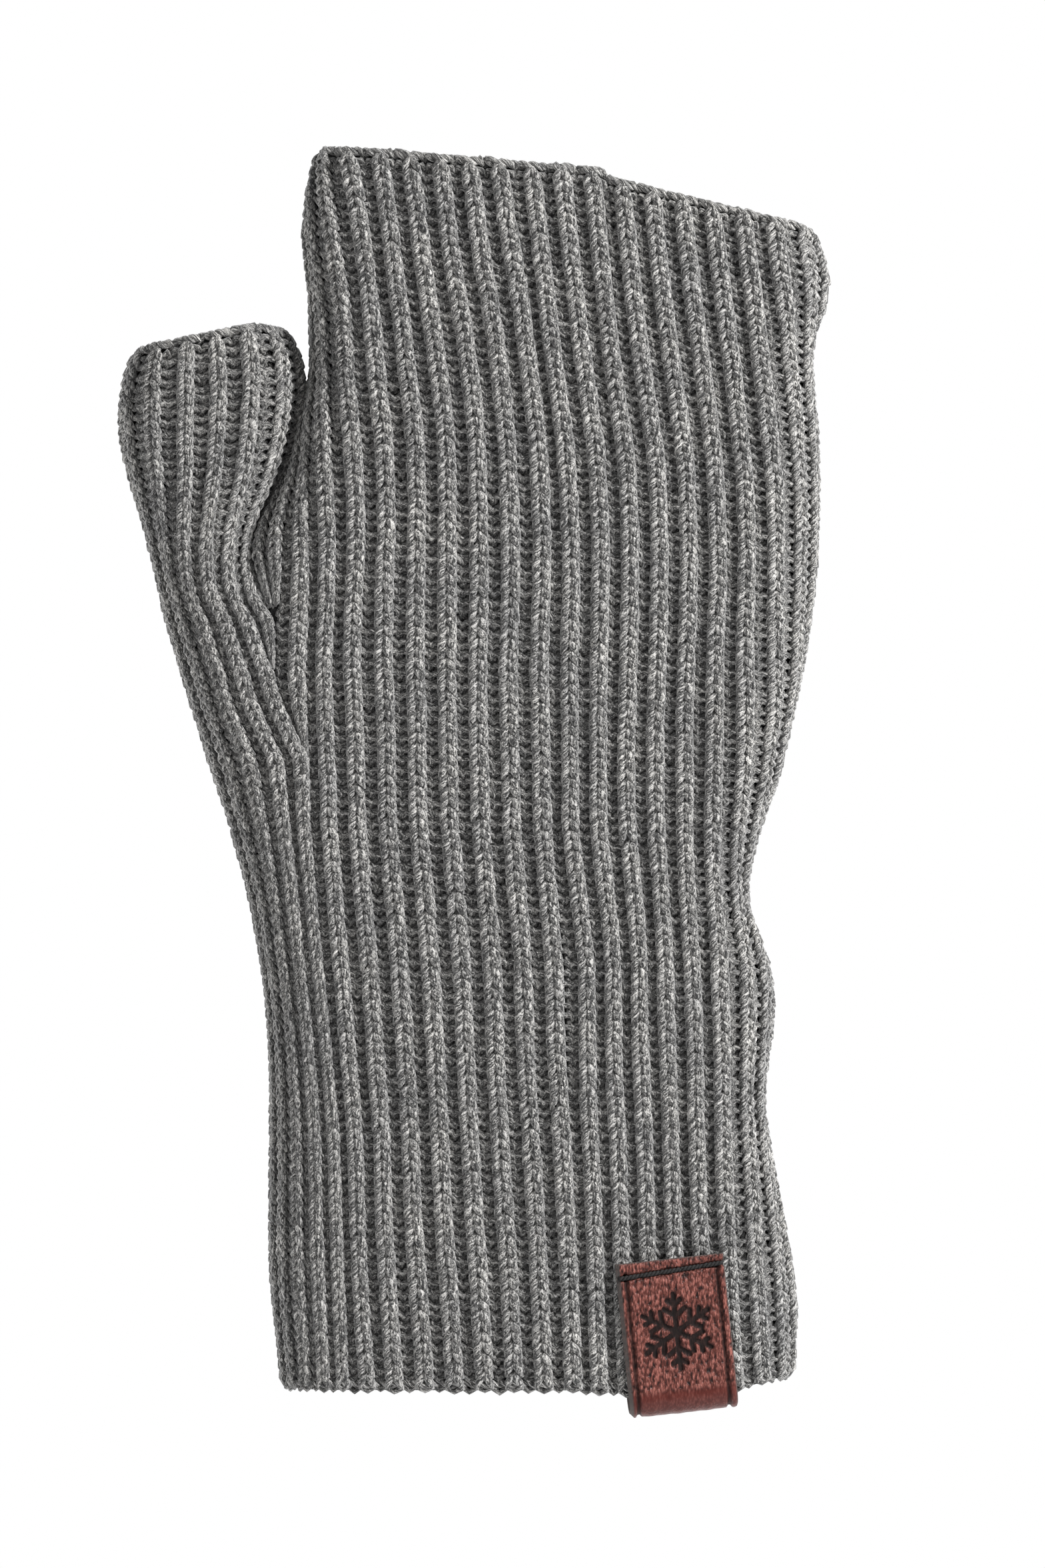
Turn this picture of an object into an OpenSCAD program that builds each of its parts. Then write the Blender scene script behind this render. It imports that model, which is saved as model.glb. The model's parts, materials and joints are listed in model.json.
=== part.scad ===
// Fingerless rib-knit glove, standing fingers up.
// The origin is the middle of the wrist opening, +Z runs to the fingers,
// +X to the little-finger side, and the thumb is on the -X side.

/* [Knit tube] */
// Height of the finger edge above the hem, at its thumb side
knit_length = 215; // [190:1:260]
// Drop of the finger edge from the thumb side to the little-finger side
finger_drop = 14; // [4:1:20]
// Width of the hem laid flat
hem_w = 90; // [78:1:110]
// Width at the wrist
wrist_w = 87; // [74:1:106]
// Width over the knuckles
palm_w = 91; // [80:1:112]
// Front-to-back depth of the cuff and wrist
cuff_t = 20; // [17:0.5:24]
// Front-to-back depth over the palm
palm_t = 22; // [19:0.5:27]
// Front-to-back depth at the finger edge
finger_t = 18; // [16:0.5:22]
// Thickness of the knitted wall
wall = 2.4; // [1.8:0.1:3.2]
// Height of the cast-on and bound-off edge rows
edge_h = 2.6; // [2:0.1:4]

/* [Bends] */
// Height of the wrist bend above the hem
wrist_z = 84; // [70:1:95]
// Height of the thumb's swing axis above the hem
thumb_z = 147; // [130:1:160]
// Turning room left between two knitted parts
clear = 0.4; // [0.3:0.05:0.8]

/* [Thumb] */
// Radius of the thumb's base about its swing axis
thumb_r = 12.4; // [10.5:0.1:14]
// Widest width of the thumb stall
thumb_w = 29.2; // [25:0.1:34]
// Front-to-back depth of the thumb stall
thumb_t = 18; // [15:0.5:21]
// Length of the thumb stall above its swing axis
thumb_len = 36.5; // [26:0.5:48]

/* [Leather tag] */
// Width of the leather tag
tag_w = 18.8; // [14:0.1:24]
// Height of the tag's outer leaf above the hem
tag_h = 23; // [18:0.5:30]
// Height of the tag's inner leaf above the hem
tag_back_h = 17; // [12:0.5:22]
// Thickness of the leather
leather = 1.7; // [1.4:0.1:2.2]
// Slack between the leather and the knit
tag_slack = 0.3; // [0.2:0.05:0.6]
// Tag's distance from the middle of the hem, toward the little finger
tag_x = 25; // [10:0.5:28]
// Lean of the tag, its top toward the thumb
tag_lean = 6; // [0:0.5:10]
// Number of stitches across the tag
stitches = 5; // [3:1:7]
// Diameter of the tag's thread
thread_d = 0.8; // [0.5:0.1:1.2]

/* [Care label] */
// Width of the blank woven label inside the cuff
label_w = 16; // [10:0.5:22]
// Drop of the label below its stitches
label_drop = 20; // [14:0.5:22]
// Thickness of the folded label
label_t = 0.8; // [0.5:0.1:1.2]
// Height of the label's stitches above the hem
label_z = 46; // [40:1:60]

/* [Hidden] */
round_fn = 36;
drum_fn = 96;
sliver = 0.2;
over = 60;
wrist_lean = -6;
wrist_r = cuff_t / 2 + 2;
hand_left = -palm_w / 2 + 5;
palm_right = palm_w / 2 + 3.2;
thumb_x = hand_left - clear - 2.1 - thumb_r;
gusset_left = thumb_x - thumb_r;
palm_z = knit_length - thumb_z;

// Sections of the hand's tube: height, left edge, right edge, depth
hand = [
    [0, -hem_w / 2, hem_w / 2, cuff_t],
    [0.24 * wrist_z, -hem_w / 2 - 1.2, hem_w / 2 - 0.7, cuff_t],
    [0.6 * wrist_z, -hem_w / 2 - 1.3, hem_w / 2 - 5.7, cuff_t],
    [0.79 * wrist_z, wrist_lean - wrist_w / 2 + 2.5, wrist_lean + wrist_w / 2 + 3.4, cuff_t],
    [wrist_z, wrist_lean - wrist_w / 2 + 2, wrist_lean + wrist_w / 2 - 0.7, cuff_t],
    [wrist_z + 0.22 * (thumb_z - wrist_z), hand_left - 6, palm_right - 9.7, cuff_t + 0.5],
    [wrist_z + 0.5 * (thumb_z - wrist_z), hand_left - 5, palm_right - 4.3, palm_t - 0.5],
    [wrist_z + 0.8 * (thumb_z - wrist_z), hand_left - 3.7, palm_right - 1.1, palm_t],
    [thumb_z, hand_left - 2.1, palm_right, palm_t],
    [thumb_z + 0.26 * palm_z, hand_left - 1.7, palm_right - 0.1, palm_t],
    [thumb_z + 0.49 * palm_z, hand_left + 0.5, palm_right - 0.5, palm_t - 1],
    [thumb_z + 0.64 * palm_z, hand_left + 0.4, palm_right + 1.5, (palm_t + finger_t) / 2],
    [thumb_z + 0.78 * palm_z, hand_left - 0.1, palm_right + 0.2, finger_t + 1],
    [knit_length + 1, hand_left + 4.5, palm_right - 4, finger_t]
];

// Sections of the gusset that widens the hand toward the thumb, a little shallower than the hand
gusset_in = hand_left + 20;
gusset_less = 0.4;
gusset = [
    [0.83 * wrist_z, wrist_lean - wrist_w / 2 + 3.2, gusset_in, cuff_t - gusset_less],
    [wrist_z, wrist_lean - wrist_w / 2 - 0.5, gusset_in, cuff_t - gusset_less],
    [wrist_z + 0.22 * (thumb_z - wrist_z), gusset_left + 14.3, gusset_in, cuff_t + 0.5 - gusset_less],
    [wrist_z + 0.5 * (thumb_z - wrist_z), gusset_left + 8.6, gusset_in, palm_t - 0.5 - gusset_less],
    [wrist_z + 0.8 * (thumb_z - wrist_z), gusset_left + 3, gusset_in, palm_t - gusset_less],
    [thumb_z, gusset_left + 0.3, gusset_in, palm_t - gusset_less]
];

// Sections of the thumb stall
thumb_in = thumb_x + thumb_r;
thumb = [
    [thumb_z - thumb_r - 1, gusset_left, thumb_in, thumb_t],
    [thumb_z, gusset_left, thumb_in, thumb_t],
    [thumb_z + 0.27 * thumb_len, thumb_in - thumb_w + 2, thumb_in, thumb_t],
    [thumb_z + 0.53 * thumb_len, thumb_in - thumb_w, thumb_in - 0.1, thumb_t],
    [thumb_z + 0.8 * thumb_len, thumb_in - thumb_w + 0.9, thumb_in - 0.5, thumb_t],
    [thumb_z + thumb_len + 2, thumb_in - thumb_w + 3.6, thumb_in - 1.3, thumb_t]
];

// The finger edge falls gently to its middle, then faster
finger_mid_x = 12;
finger_mid_drop = 0.35 * finger_drop;
finger_line = [
    [hand_left, knit_length],
    [finger_mid_x, knit_length - finger_mid_drop],
    [palm_right, knit_length - finger_drop]
];
thumb_line = [
    [thumb_in - thumb_w, thumb_z + thumb_len - 5],
    [thumb_in - 6, thumb_z + thumb_len],
    [thumb_in, thumb_z + thumb_len - 0.8]
];

function inset_of(sections, by) = [for (s = sections) [s[0], s[1] + by, s[2] - by, s[3] - 2 * by]];

// One thin flattened-oval slice
module slice(s) {
    r = s[3] / 2;
    for (x = [s[1] + r, s[2] - r])
        translate([x, 0, s[0]]) cylinder(r = r, h = sliver, center = true, $fn = round_fn);
}

// A solid through all the slices
module loft(sections) {
    for (i = [0:len(sections) - 2])
        hull() {
            slice(sections[i]);
            slice(sections[i + 1]);
        }
}

// The same solid, run past its first and last slice
module long_loft(sections) {
    last = len(sections) - 1;
    loft(sections);
    for (i = [0, last])
        translate([0, 0, i == 0 ? -over / 4 : over / 4])
            hull() {
                slice(sections[i]);
                translate([0, 0, i == 0 ? over / 2 : -over / 2]) slice(sections[i]);
            }
}

// Everything above a line across the glove, seen from the front
module above(line, down = 0) {
    first = line[0];
    last = line[len(line) - 1];
    points = concat(
        [[first[0] - over, first[1] - down]],
        [for (p = line) [p[0], p[1] - down]],
        [[last[0] + over, last[1] - down], [last[0] + over, knit_length + over],
         [first[0] - over, knit_length + over]]
    );
    rotate([90, 0, 0]) linear_extrude(height = over * 2, center = true) polygon(points);
}

module wrist_drum(r) {
    translate([0, 0, wrist_z]) rotate([0, 90, 0])
        cylinder(r = r, h = palm_w * 3, center = true, $fn = drum_fn);
}

module thumb_drum(r) {
    translate([thumb_x, 0, thumb_z]) rotate([90, 0, 0])
        cylinder(r = r, h = palm_t * 3, center = true, $fn = drum_fn);
}

// Whole wall of the hand and its gusset
module hand_wall() {
    difference() {
        union() {
            loft(hand);
            loft(gusset);
        }
        long_loft(inset_of(hand, wall));
        loft(inset_of(gusset, wall));
    }
}

module slab(z0, z1) {
    translate([-over * 2, -over, z0]) cube([over * 4, over * 2, z1 - z0]);
}

module cuff_knit() {
    color("dimgray") difference() {
        hand_wall();
        slab(-over, edge_h);
        slab(wrist_z, knit_length + over);
        wrist_drum(wrist_r);
    }
}

module cuff_edge() {
    color("gray") intersection() {
        hand_wall();
        slab(-1, edge_h);
    }
}

module wrist_knit() {
    color("dimgray") intersection() {
        hand_wall();
        wrist_drum(wrist_r - clear);
    }
}

module hand_knit() {
    color("dimgray") difference() {
        hand_wall();
        slab(-over, wrist_z);
        wrist_drum(wrist_r);
        thumb_drum(thumb_r + clear);
        above(finger_line, edge_h);
    }
}

module finger_edge() {
    color("gray") difference() {
        intersection() {
            hand_wall();
            above(finger_line, edge_h);
        }
        above(finger_line);
    }
}

// Bars of yarn that close the corner between the thumb and the hand
crotch_bars = 2;
crotch_pitch = 1.6;
crotch_r = 0.7;
module crotch_stitches() {
    color("gray")
        for (i = [0:crotch_bars - 1])
            translate([hand_left - 2.1 + wall / 2, 0, thumb_z - crotch_r - i * crotch_pitch])
                rotate([90, 0, 0]) cylinder(r = crotch_r, h = palm_t - gusset_less - 2 * wall, center = true, $fn = 24);
}

module thumb_wall() {
    difference() {
        loft(thumb);
        long_loft(inset_of(thumb, wall));
    }
}

// The stall's base is round about the swing axis
module thumb_reach() {
    thumb_drum(thumb_r);
    slab(thumb_z, knit_length);
}

module thumb_knit() {
    color("dimgray") difference() {
        intersection() {
            thumb_wall();
            thumb_reach();
        }
        above(thumb_line, edge_h);
    }
}

module thumb_edge() {
    color("gray") difference() {
        intersection() {
            thumb_wall();
            above(thumb_line, edge_h);
        }
        above(thumb_line);
    }
}

// Leather tag: an outer leaf, a round fold under the hem and an inner leaf.
// It is drawn with the middle of the knit wall as its own YZ origin.
tag_gap = wall / 2 + tag_slack;
tag_out = tag_gap + leather;
tag_under = 0.6;
groove_w = 0.5;
groove_deep = 0.35;
groove_in = 1.5;

module at_tag() {
    translate([tag_x, -cuff_t / 2 + wall / 2, 0]) rotate([0, -tag_lean, 0]) children();
}

module tag_body() {
    x0 = -tag_w / 2;
    for (leaf = [[-tag_out, tag_h], [tag_gap, tag_back_h]])
        translate([x0, leaf[0], -tag_under]) cube([tag_w, leather, leaf[1] + tag_under]);
    translate([0, 0, -tag_under]) rotate([0, 90, 0]) difference() {
        cylinder(r = tag_out, h = tag_w, center = true, $fn = 64);
        cylinder(r = tag_gap, h = tag_w + 1, center = true, $fn = 64);
        translate([-over, -over / 2, -over / 2]) cube([over, over, over]);
    }
}

// A row of stitches is sunk in a channel near the end of each leaf
stitch_top = 2.1;
stitch_pitch = (tag_w - 2 * groove_in) / stitches;
channel_deep = thread_d + 0.05;

// The channel runs across the leaf whose outer face is at y, on the side that sign points to
module tag_channel(y, sign, z) {
    translate([-over / 2, sign > 0 ? y - channel_deep : y - 1, z - thread_d / 2 - 0.1])
        cube([over, channel_deep + 1, thread_d + 0.2]);
}

module tag_leather() {
    color("saddlebrown") at_tag() difference() {
        tag_body();
        for (side = [-1, 1])
            translate([side * (tag_w / 2 - groove_in) - groove_w / 2, -tag_out - 1, -tag_under])
                cube([groove_w, 1 + groove_deep, tag_h + over]);
        tag_channel(-tag_out, -1, tag_h - stitch_top);
        tag_channel(tag_out, 1, tag_back_h - stitch_top);
    }
}

module tag_row(y, z) {
    color("black") at_tag()
        for (i = [0:stitches - 1])
            translate([(i - (stitches - 1) / 2) * stitch_pitch, y, z]) rotate([0, 90, 0])
                cylinder(r = thread_d / 2, h = stitch_pitch * 0.8, center = true, $fn = 24);
}

module tag_needle_thread() {
    tag_row(-tag_out + channel_deep - thread_d / 2, tag_h - stitch_top);
}

module tag_bobbin_thread() {
    tag_row(tag_out - channel_deep + thread_d / 2, tag_back_h - stitch_top);
}

// The label hangs from its thread just inside the back of the cuff
label_y = cuff_t / 2 - wall - 1.2;
label_hang = 0.5;
module care_label() {
    color("white") translate([-label_w / 2, label_y - label_t, label_z - label_hang - label_drop])
        cube([label_w, label_t, label_drop]);
}

label_bars = 4;
module care_label_thread() {
    color("lightgray")
        for (i = [0:label_bars - 1])
            translate([(i - (label_bars - 1) / 2) * label_w / label_bars, 0, label_z + 0.4])
                rotate([-90, 0, 0]) translate([0, 0, label_y - label_t])
                    cylinder(r = thread_d / 2, h = cuff_t / 2 - wall - label_y + label_t, $fn = 24);
}

cuff_knit();
cuff_edge();
wrist_knit();
hand_knit();
finger_edge();
crotch_stitches();
thumb_knit();
thumb_edge();
tag_leather();
tag_needle_thread();
tag_bobbin_thread();
care_label();
care_label_thread();
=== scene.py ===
"""Looks of a fingerless rib-knit glove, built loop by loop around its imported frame."""

import json
import logging
import math
from dataclasses import dataclass, field
from enum import Enum

import bpy
import numpy as np
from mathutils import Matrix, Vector

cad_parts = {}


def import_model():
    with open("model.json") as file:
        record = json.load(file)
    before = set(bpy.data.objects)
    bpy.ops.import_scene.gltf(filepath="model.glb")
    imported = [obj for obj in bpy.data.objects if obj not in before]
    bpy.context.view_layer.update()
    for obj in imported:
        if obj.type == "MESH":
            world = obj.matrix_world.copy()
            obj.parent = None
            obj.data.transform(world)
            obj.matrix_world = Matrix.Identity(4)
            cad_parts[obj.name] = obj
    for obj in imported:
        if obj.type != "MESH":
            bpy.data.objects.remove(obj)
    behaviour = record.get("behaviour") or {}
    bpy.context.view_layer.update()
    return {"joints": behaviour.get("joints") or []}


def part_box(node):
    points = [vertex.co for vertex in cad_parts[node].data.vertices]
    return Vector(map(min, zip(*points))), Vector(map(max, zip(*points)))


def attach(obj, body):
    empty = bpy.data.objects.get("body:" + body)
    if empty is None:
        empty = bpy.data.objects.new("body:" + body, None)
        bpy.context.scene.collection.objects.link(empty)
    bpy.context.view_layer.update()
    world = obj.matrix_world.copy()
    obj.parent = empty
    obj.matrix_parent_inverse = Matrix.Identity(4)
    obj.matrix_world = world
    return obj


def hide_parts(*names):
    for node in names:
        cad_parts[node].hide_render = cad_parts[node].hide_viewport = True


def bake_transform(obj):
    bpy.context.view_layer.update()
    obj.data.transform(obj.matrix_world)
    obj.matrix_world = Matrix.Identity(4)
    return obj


MM = 0.001
SEED = 883
TWO_PI = 2.0 * math.pi
TINY = 1e-9
# edge cords, in courses: above the hem, and down from the last course
HEM_ROW = 0.62
EDGE_SUNK = 0.20
Value = bpy.types.NodeSocket | float
Colour = bpy.types.NodeSocket | tuple
log = logging.getLogger("glove")


# ---------------------------------------------------------------- small helpers


def smooth_step(low: float, high: float, value: np.ndarray) -> np.ndarray:
    """Eases from 0 at low to 1 at high.

    Args:
        low: Where the ramp starts.
        high: Where the ramp ends.
        value: Where to evaluate it.

    Returns:
        The eased values.
    """
    t = np.clip((np.asarray(value, float) - low) / (high - low), 0.0, 1.0)
    return t * t * (3.0 - 2.0 * t)


def deselect_all() -> None:
    """Leaves nothing selected, so that an operator acts only on what comes next."""
    bpy.ops.object.select_all(action="DESELECT")


def mesh_object(name: str, points: np.ndarray, quads: np.ndarray,
                extra: list | None = None) -> bpy.types.Object:
    """Makes a mesh object from millimetre points and four-cornered faces.

    Args:
        name: The piece's name.
        points: Vertex places, one row each, in millimetres.
        quads: Vertex numbers of the four-cornered faces, one row each.
        extra: Faces with any number of corners, such as end caps.

    Returns:
        The new object, linked to the scene and smooth shaded.
    """
    extra = extra or []
    mesh = bpy.data.meshes.new(name)
    corner_lists = [np.asarray(quads, np.int32).ravel()]
    totals = [np.full(len(quads), 4, np.int32)]
    if extra:
        corner_lists.append(np.concatenate([np.asarray(f, np.int32) for f in extra]))
        totals.append(np.array([len(f) for f in extra], np.int32))
    corners = np.concatenate(corner_lists)
    total = np.concatenate(totals)
    mesh.vertices.add(len(points))
    mesh.vertices.foreach_set("co", (np.asarray(points, np.float32) * MM).ravel())
    mesh.loops.add(len(corners))
    mesh.loops.foreach_set("vertex_index", corners)
    mesh.polygons.add(len(total))
    mesh.polygons.foreach_set("loop_start", np.concatenate([[0], np.cumsum(total)[:-1]]).astype(np.int32))
    mesh.polygons.foreach_set("loop_total", total)
    mesh.polygons.foreach_set("use_smooth", np.ones(len(total), bool))
    mesh.update()
    mesh.validate()
    piece = bpy.data.objects.new(name, mesh)
    bpy.context.scene.collection.objects.link(piece)
    return piece


def dress(piece: bpy.types.Object, material: bpy.types.Material) -> None:
    """Gives a piece one material.

    Args:
        piece: The piece.
        material: Its finish.
    """
    piece.data.materials.clear()
    piece.data.materials.append(material)


class NodeSheet:
    """A thin hand for laying out one material's nodes."""

    def __init__(self, name: str) -> None:
        """Starts a material with a Principled shader.

        Args:
            name: The material's name.
        """
        self.material = bpy.data.materials.new(name)
        self.material.use_nodes = True
        self.tree = self.material.node_tree
        self.shader = self.tree.nodes["Principled BSDF"]

    def add(self, kind: str, **values) -> bpy.types.Node:
        """Adds a node and sets its properties.

        Args:
            kind: Blender's node type name.
            **values: Properties to set on it.

        Returns:
            The new node.
        """
        node = self.tree.nodes.new(kind)
        for key, value in values.items():
            setattr(node, key, value)
        return node

    def link(self, source: bpy.types.NodeSocket, target: bpy.types.NodeSocket) -> None:
        """Joins two sockets."""
        self.tree.links.new(source, target)

    def ramp(self, source: bpy.types.NodeSocket, stops: list | tuple) -> bpy.types.Node:
        """Adds a colour ramp.

        Args:
            source: The socket that drives it.
            stops: Pairs of place and colour.

        Returns:
            The ramp node.
        """
        node = self.add("ShaderNodeValToRGB")
        self.link(source, node.inputs["Fac"])
        elements = node.color_ramp.elements
        while len(elements) < len(stops):
            elements.new(0.5)
        for element, (place, colour) in zip(elements, stops):
            element.position = place
            element.color = (*colour, 1.0)
        return node

    def noise(self, vector: bpy.types.NodeSocket | None, scale: float, detail: float = 2.0,
              rough: float = 0.5) -> bpy.types.Node:
        """Adds a noise texture.

        Args:
            vector: The coordinates it reads.
            scale: Its scale.
            detail: Its octaves.
            rough: How strong each octave is against the one before.

        Returns:
            The noise node.
        """
        node = self.add("ShaderNodeTexNoise")
        node.inputs["Scale"].default_value = scale
        node.inputs["Detail"].default_value = detail
        node.inputs["Roughness"].default_value = rough
        if vector is not None:
            self.link(vector, node.inputs["Vector"])
        return node

    def math(self, operation: str, a: Value, b: Value = 0.0) -> bpy.types.NodeSocket:
        """Adds a maths node.

        Args:
            operation: Its operation.
            a: First input, a socket or a number.
            b: Second input, a socket or a number.

        Returns:
            The result's socket.
        """
        node = self.add("ShaderNodeMath", operation=operation)
        for slot, value in zip(node.inputs, (a, b)):
            if isinstance(value, bpy.types.NodeSocket):
                self.link(value, slot)
            else:
                slot.default_value = value
        return node.outputs[0]

    def attribute(self, name: str) -> bpy.types.NodeSocket:
        """Reads one of the mesh's own number layers.

        Args:
            name: The layer's name.

        Returns:
            Its socket.
        """
        return self.add("ShaderNodeAttribute", attribute_name=name).outputs["Fac"]

    def place(self) -> bpy.types.NodeSocket:
        """Reads the place on the piece, in metres."""
        return self.add("ShaderNodeTexCoord").outputs["Object"]

    def less(self, share: Value, part: float) -> bpy.types.NodeSocket:
        """Works out 1 minus a part of a share."""
        return self.math("SUBTRACT", 1.0, self.math("MULTIPLY", share, part))

    def mix(self, kind: str, factor: Value, a: Colour, b: Colour) -> bpy.types.NodeSocket:
        """Mixes two colours.

        Args:
            kind: Blend type.
            factor: A socket or a number.
            a: First colour, a socket or a triple.
            b: Second colour, a socket or a triple.

        Returns:
            The mixed colour's socket.
        """
        node = self.add("ShaderNodeMix", data_type="RGBA", blend_type=kind)
        for slot, value in ((node.inputs[0], factor), (node.inputs[6], a), (node.inputs[7], b)):
            if isinstance(value, bpy.types.NodeSocket):
                self.link(value, slot)
            elif isinstance(value, tuple):
                slot.default_value = (*value, 1.0)
            else:
                slot.default_value = value
        return node.outputs[2]

    def bump(self, height: bpy.types.NodeSocket, strength: float, distance: float) -> None:
        """Gives the shader a bump.

        Args:
            height: The height's socket.
            strength: How strong the bump is.
            distance: Its depth in metres.
        """
        node = self.add("ShaderNodeBump")
        node.inputs["Strength"].default_value = strength
        node.inputs["Distance"].default_value = distance
        self.link(height, node.inputs["Height"])
        self.link(node.outputs["Normal"], self.shader.inputs["Normal"])


# ---------------------------------------------------------------- finishes


class Heather(Enum):
    """How light a wool finish is."""

    RIB = 1.0
    EDGE = 1.06


@dataclass(frozen=True)
class WoolFinish:
    """Heather wool yarn: light and dark fibres twisted together."""

    name: str
    shade: Heather
    dark: tuple = (0.006, 0.006, 0.0065)
    mid: tuple = (0.064, 0.0633, 0.0620)
    light: tuple = (0.44, 0.432, 0.416)
    stops: tuple = (0.38, 0.48, 0.63)
    streak_scale: float = 1.45
    fine_scale: float = 4.0
    streak_share: float = 0.58
    cloud_scale: float = 90.0
    cloud: tuple = ((0.30, (0.80, 0.80, 0.81)), (0.70, (1.16, 1.15, 1.13)))
    # painted shade: the stand attribute, shifted and scaled, darkens yarn that lies low between the wales
    # and lightens its raised tops a little
    stand_shift: float = 1.7
    stand_scale: float = 0.294
    depth: tuple = ((0.28, (0.56, 0.56, 0.56)), (0.62, (0.80, 0.80, 0.80)), (0.92, (1.10, 1.10, 1.10)))
    roughness: float = 0.86
    specular: float = 0.25
    sheen: float = 0.35
    sheen_rough: float = 0.5
    bump: float = 0.9
    bump_depth: float = 0.0003

    def _tone(self, colour: tuple) -> tuple:
        """Lightens or darkens a colour as the finish's shade says."""
        return tuple(min(1.0, c * self.shade.value) for c in colour)

    def build(self) -> bpy.types.Material:
        """Makes the material, whose streaks follow each strand's own fibre attribute, with painted shade
        where the yarn lies low in the fabric.
        """
        sheet = NodeSheet(self.name)
        fibre = sheet.add("ShaderNodeAttribute", attribute_name="fibre").outputs["Vector"]
        place = sheet.place()
        streak = sheet.noise(fibre, self.streak_scale, 1.0, 0.5).outputs["Fac"]
        fine = sheet.noise(fibre, self.fine_scale, 2.0, 0.55).outputs["Fac"]
        both = sheet.math("ADD", sheet.math("MULTIPLY", streak, self.streak_share),
                          sheet.math("MULTIPLY", fine, 1.0 - self.streak_share))
        tones = [self._tone(colour) for colour in (self.dark, self.mid, self.light)]
        ramp = sheet.ramp(both, list(zip(self.stops, tones)))
        cloud = sheet.ramp(sheet.noise(place, self.cloud_scale, 3.0, 0.6).outputs["Fac"], self.cloud)
        colour = sheet.mix("MULTIPLY", 1.0, ramp.outputs["Color"], cloud.outputs["Color"])
        # painted shade: darker where the yarn lies low in the fabric, a little lighter on its raised tops
        stand = sheet.math("ADD", sheet.attribute("stand"), self.stand_shift)
        depth = sheet.ramp(sheet.math("MULTIPLY", stand, self.stand_scale), self.depth)
        colour = sheet.mix("MULTIPLY", 1.0, colour, depth.outputs["Color"])
        sheet.link(colour, sheet.shader.inputs["Base Color"])
        sheet.shader.inputs["Roughness"].default_value = self.roughness
        sheet.shader.inputs["Specular IOR Level"].default_value = self.specular
        sheet.shader.inputs["Sheen Weight"].default_value = self.sheen
        sheet.shader.inputs["Sheen Roughness"].default_value = self.sheen_rough
        sheet.bump(both, self.bump, self.bump_depth)
        return sheet.material


@dataclass(frozen=True)
class ShadeCoreFinish:
    """Painted shade: near-black tones for the sheet that shows only in the depth of the rib."""

    name: str = "painted_shade_core"
    speckle_scale: float = 2600.0
    # near-black tones of painted shade, with a fine random speckle
    tones: tuple = ((0.35, (0.006, 0.006, 0.006)), (0.62, (0.035, 0.035, 0.034)))
    roughness: float = 0.95
    specular: float = 0.1
    bump: float = 0.8
    bump_depth: float = 0.0003

    def build(self) -> bpy.types.Material:
        """Makes the material."""
        sheet = NodeSheet(self.name)
        speckle = sheet.noise(sheet.place(), self.speckle_scale, 3.0, 0.7).outputs["Fac"]
        ramp = sheet.ramp(speckle, self.tones)
        sheet.link(ramp.outputs["Color"], sheet.shader.inputs["Base Color"])
        sheet.shader.inputs["Roughness"].default_value = self.roughness
        sheet.shader.inputs["Specular IOR Level"].default_value = self.specular
        sheet.bump(speckle, self.bump, self.bump_depth)
        return sheet.material


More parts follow.
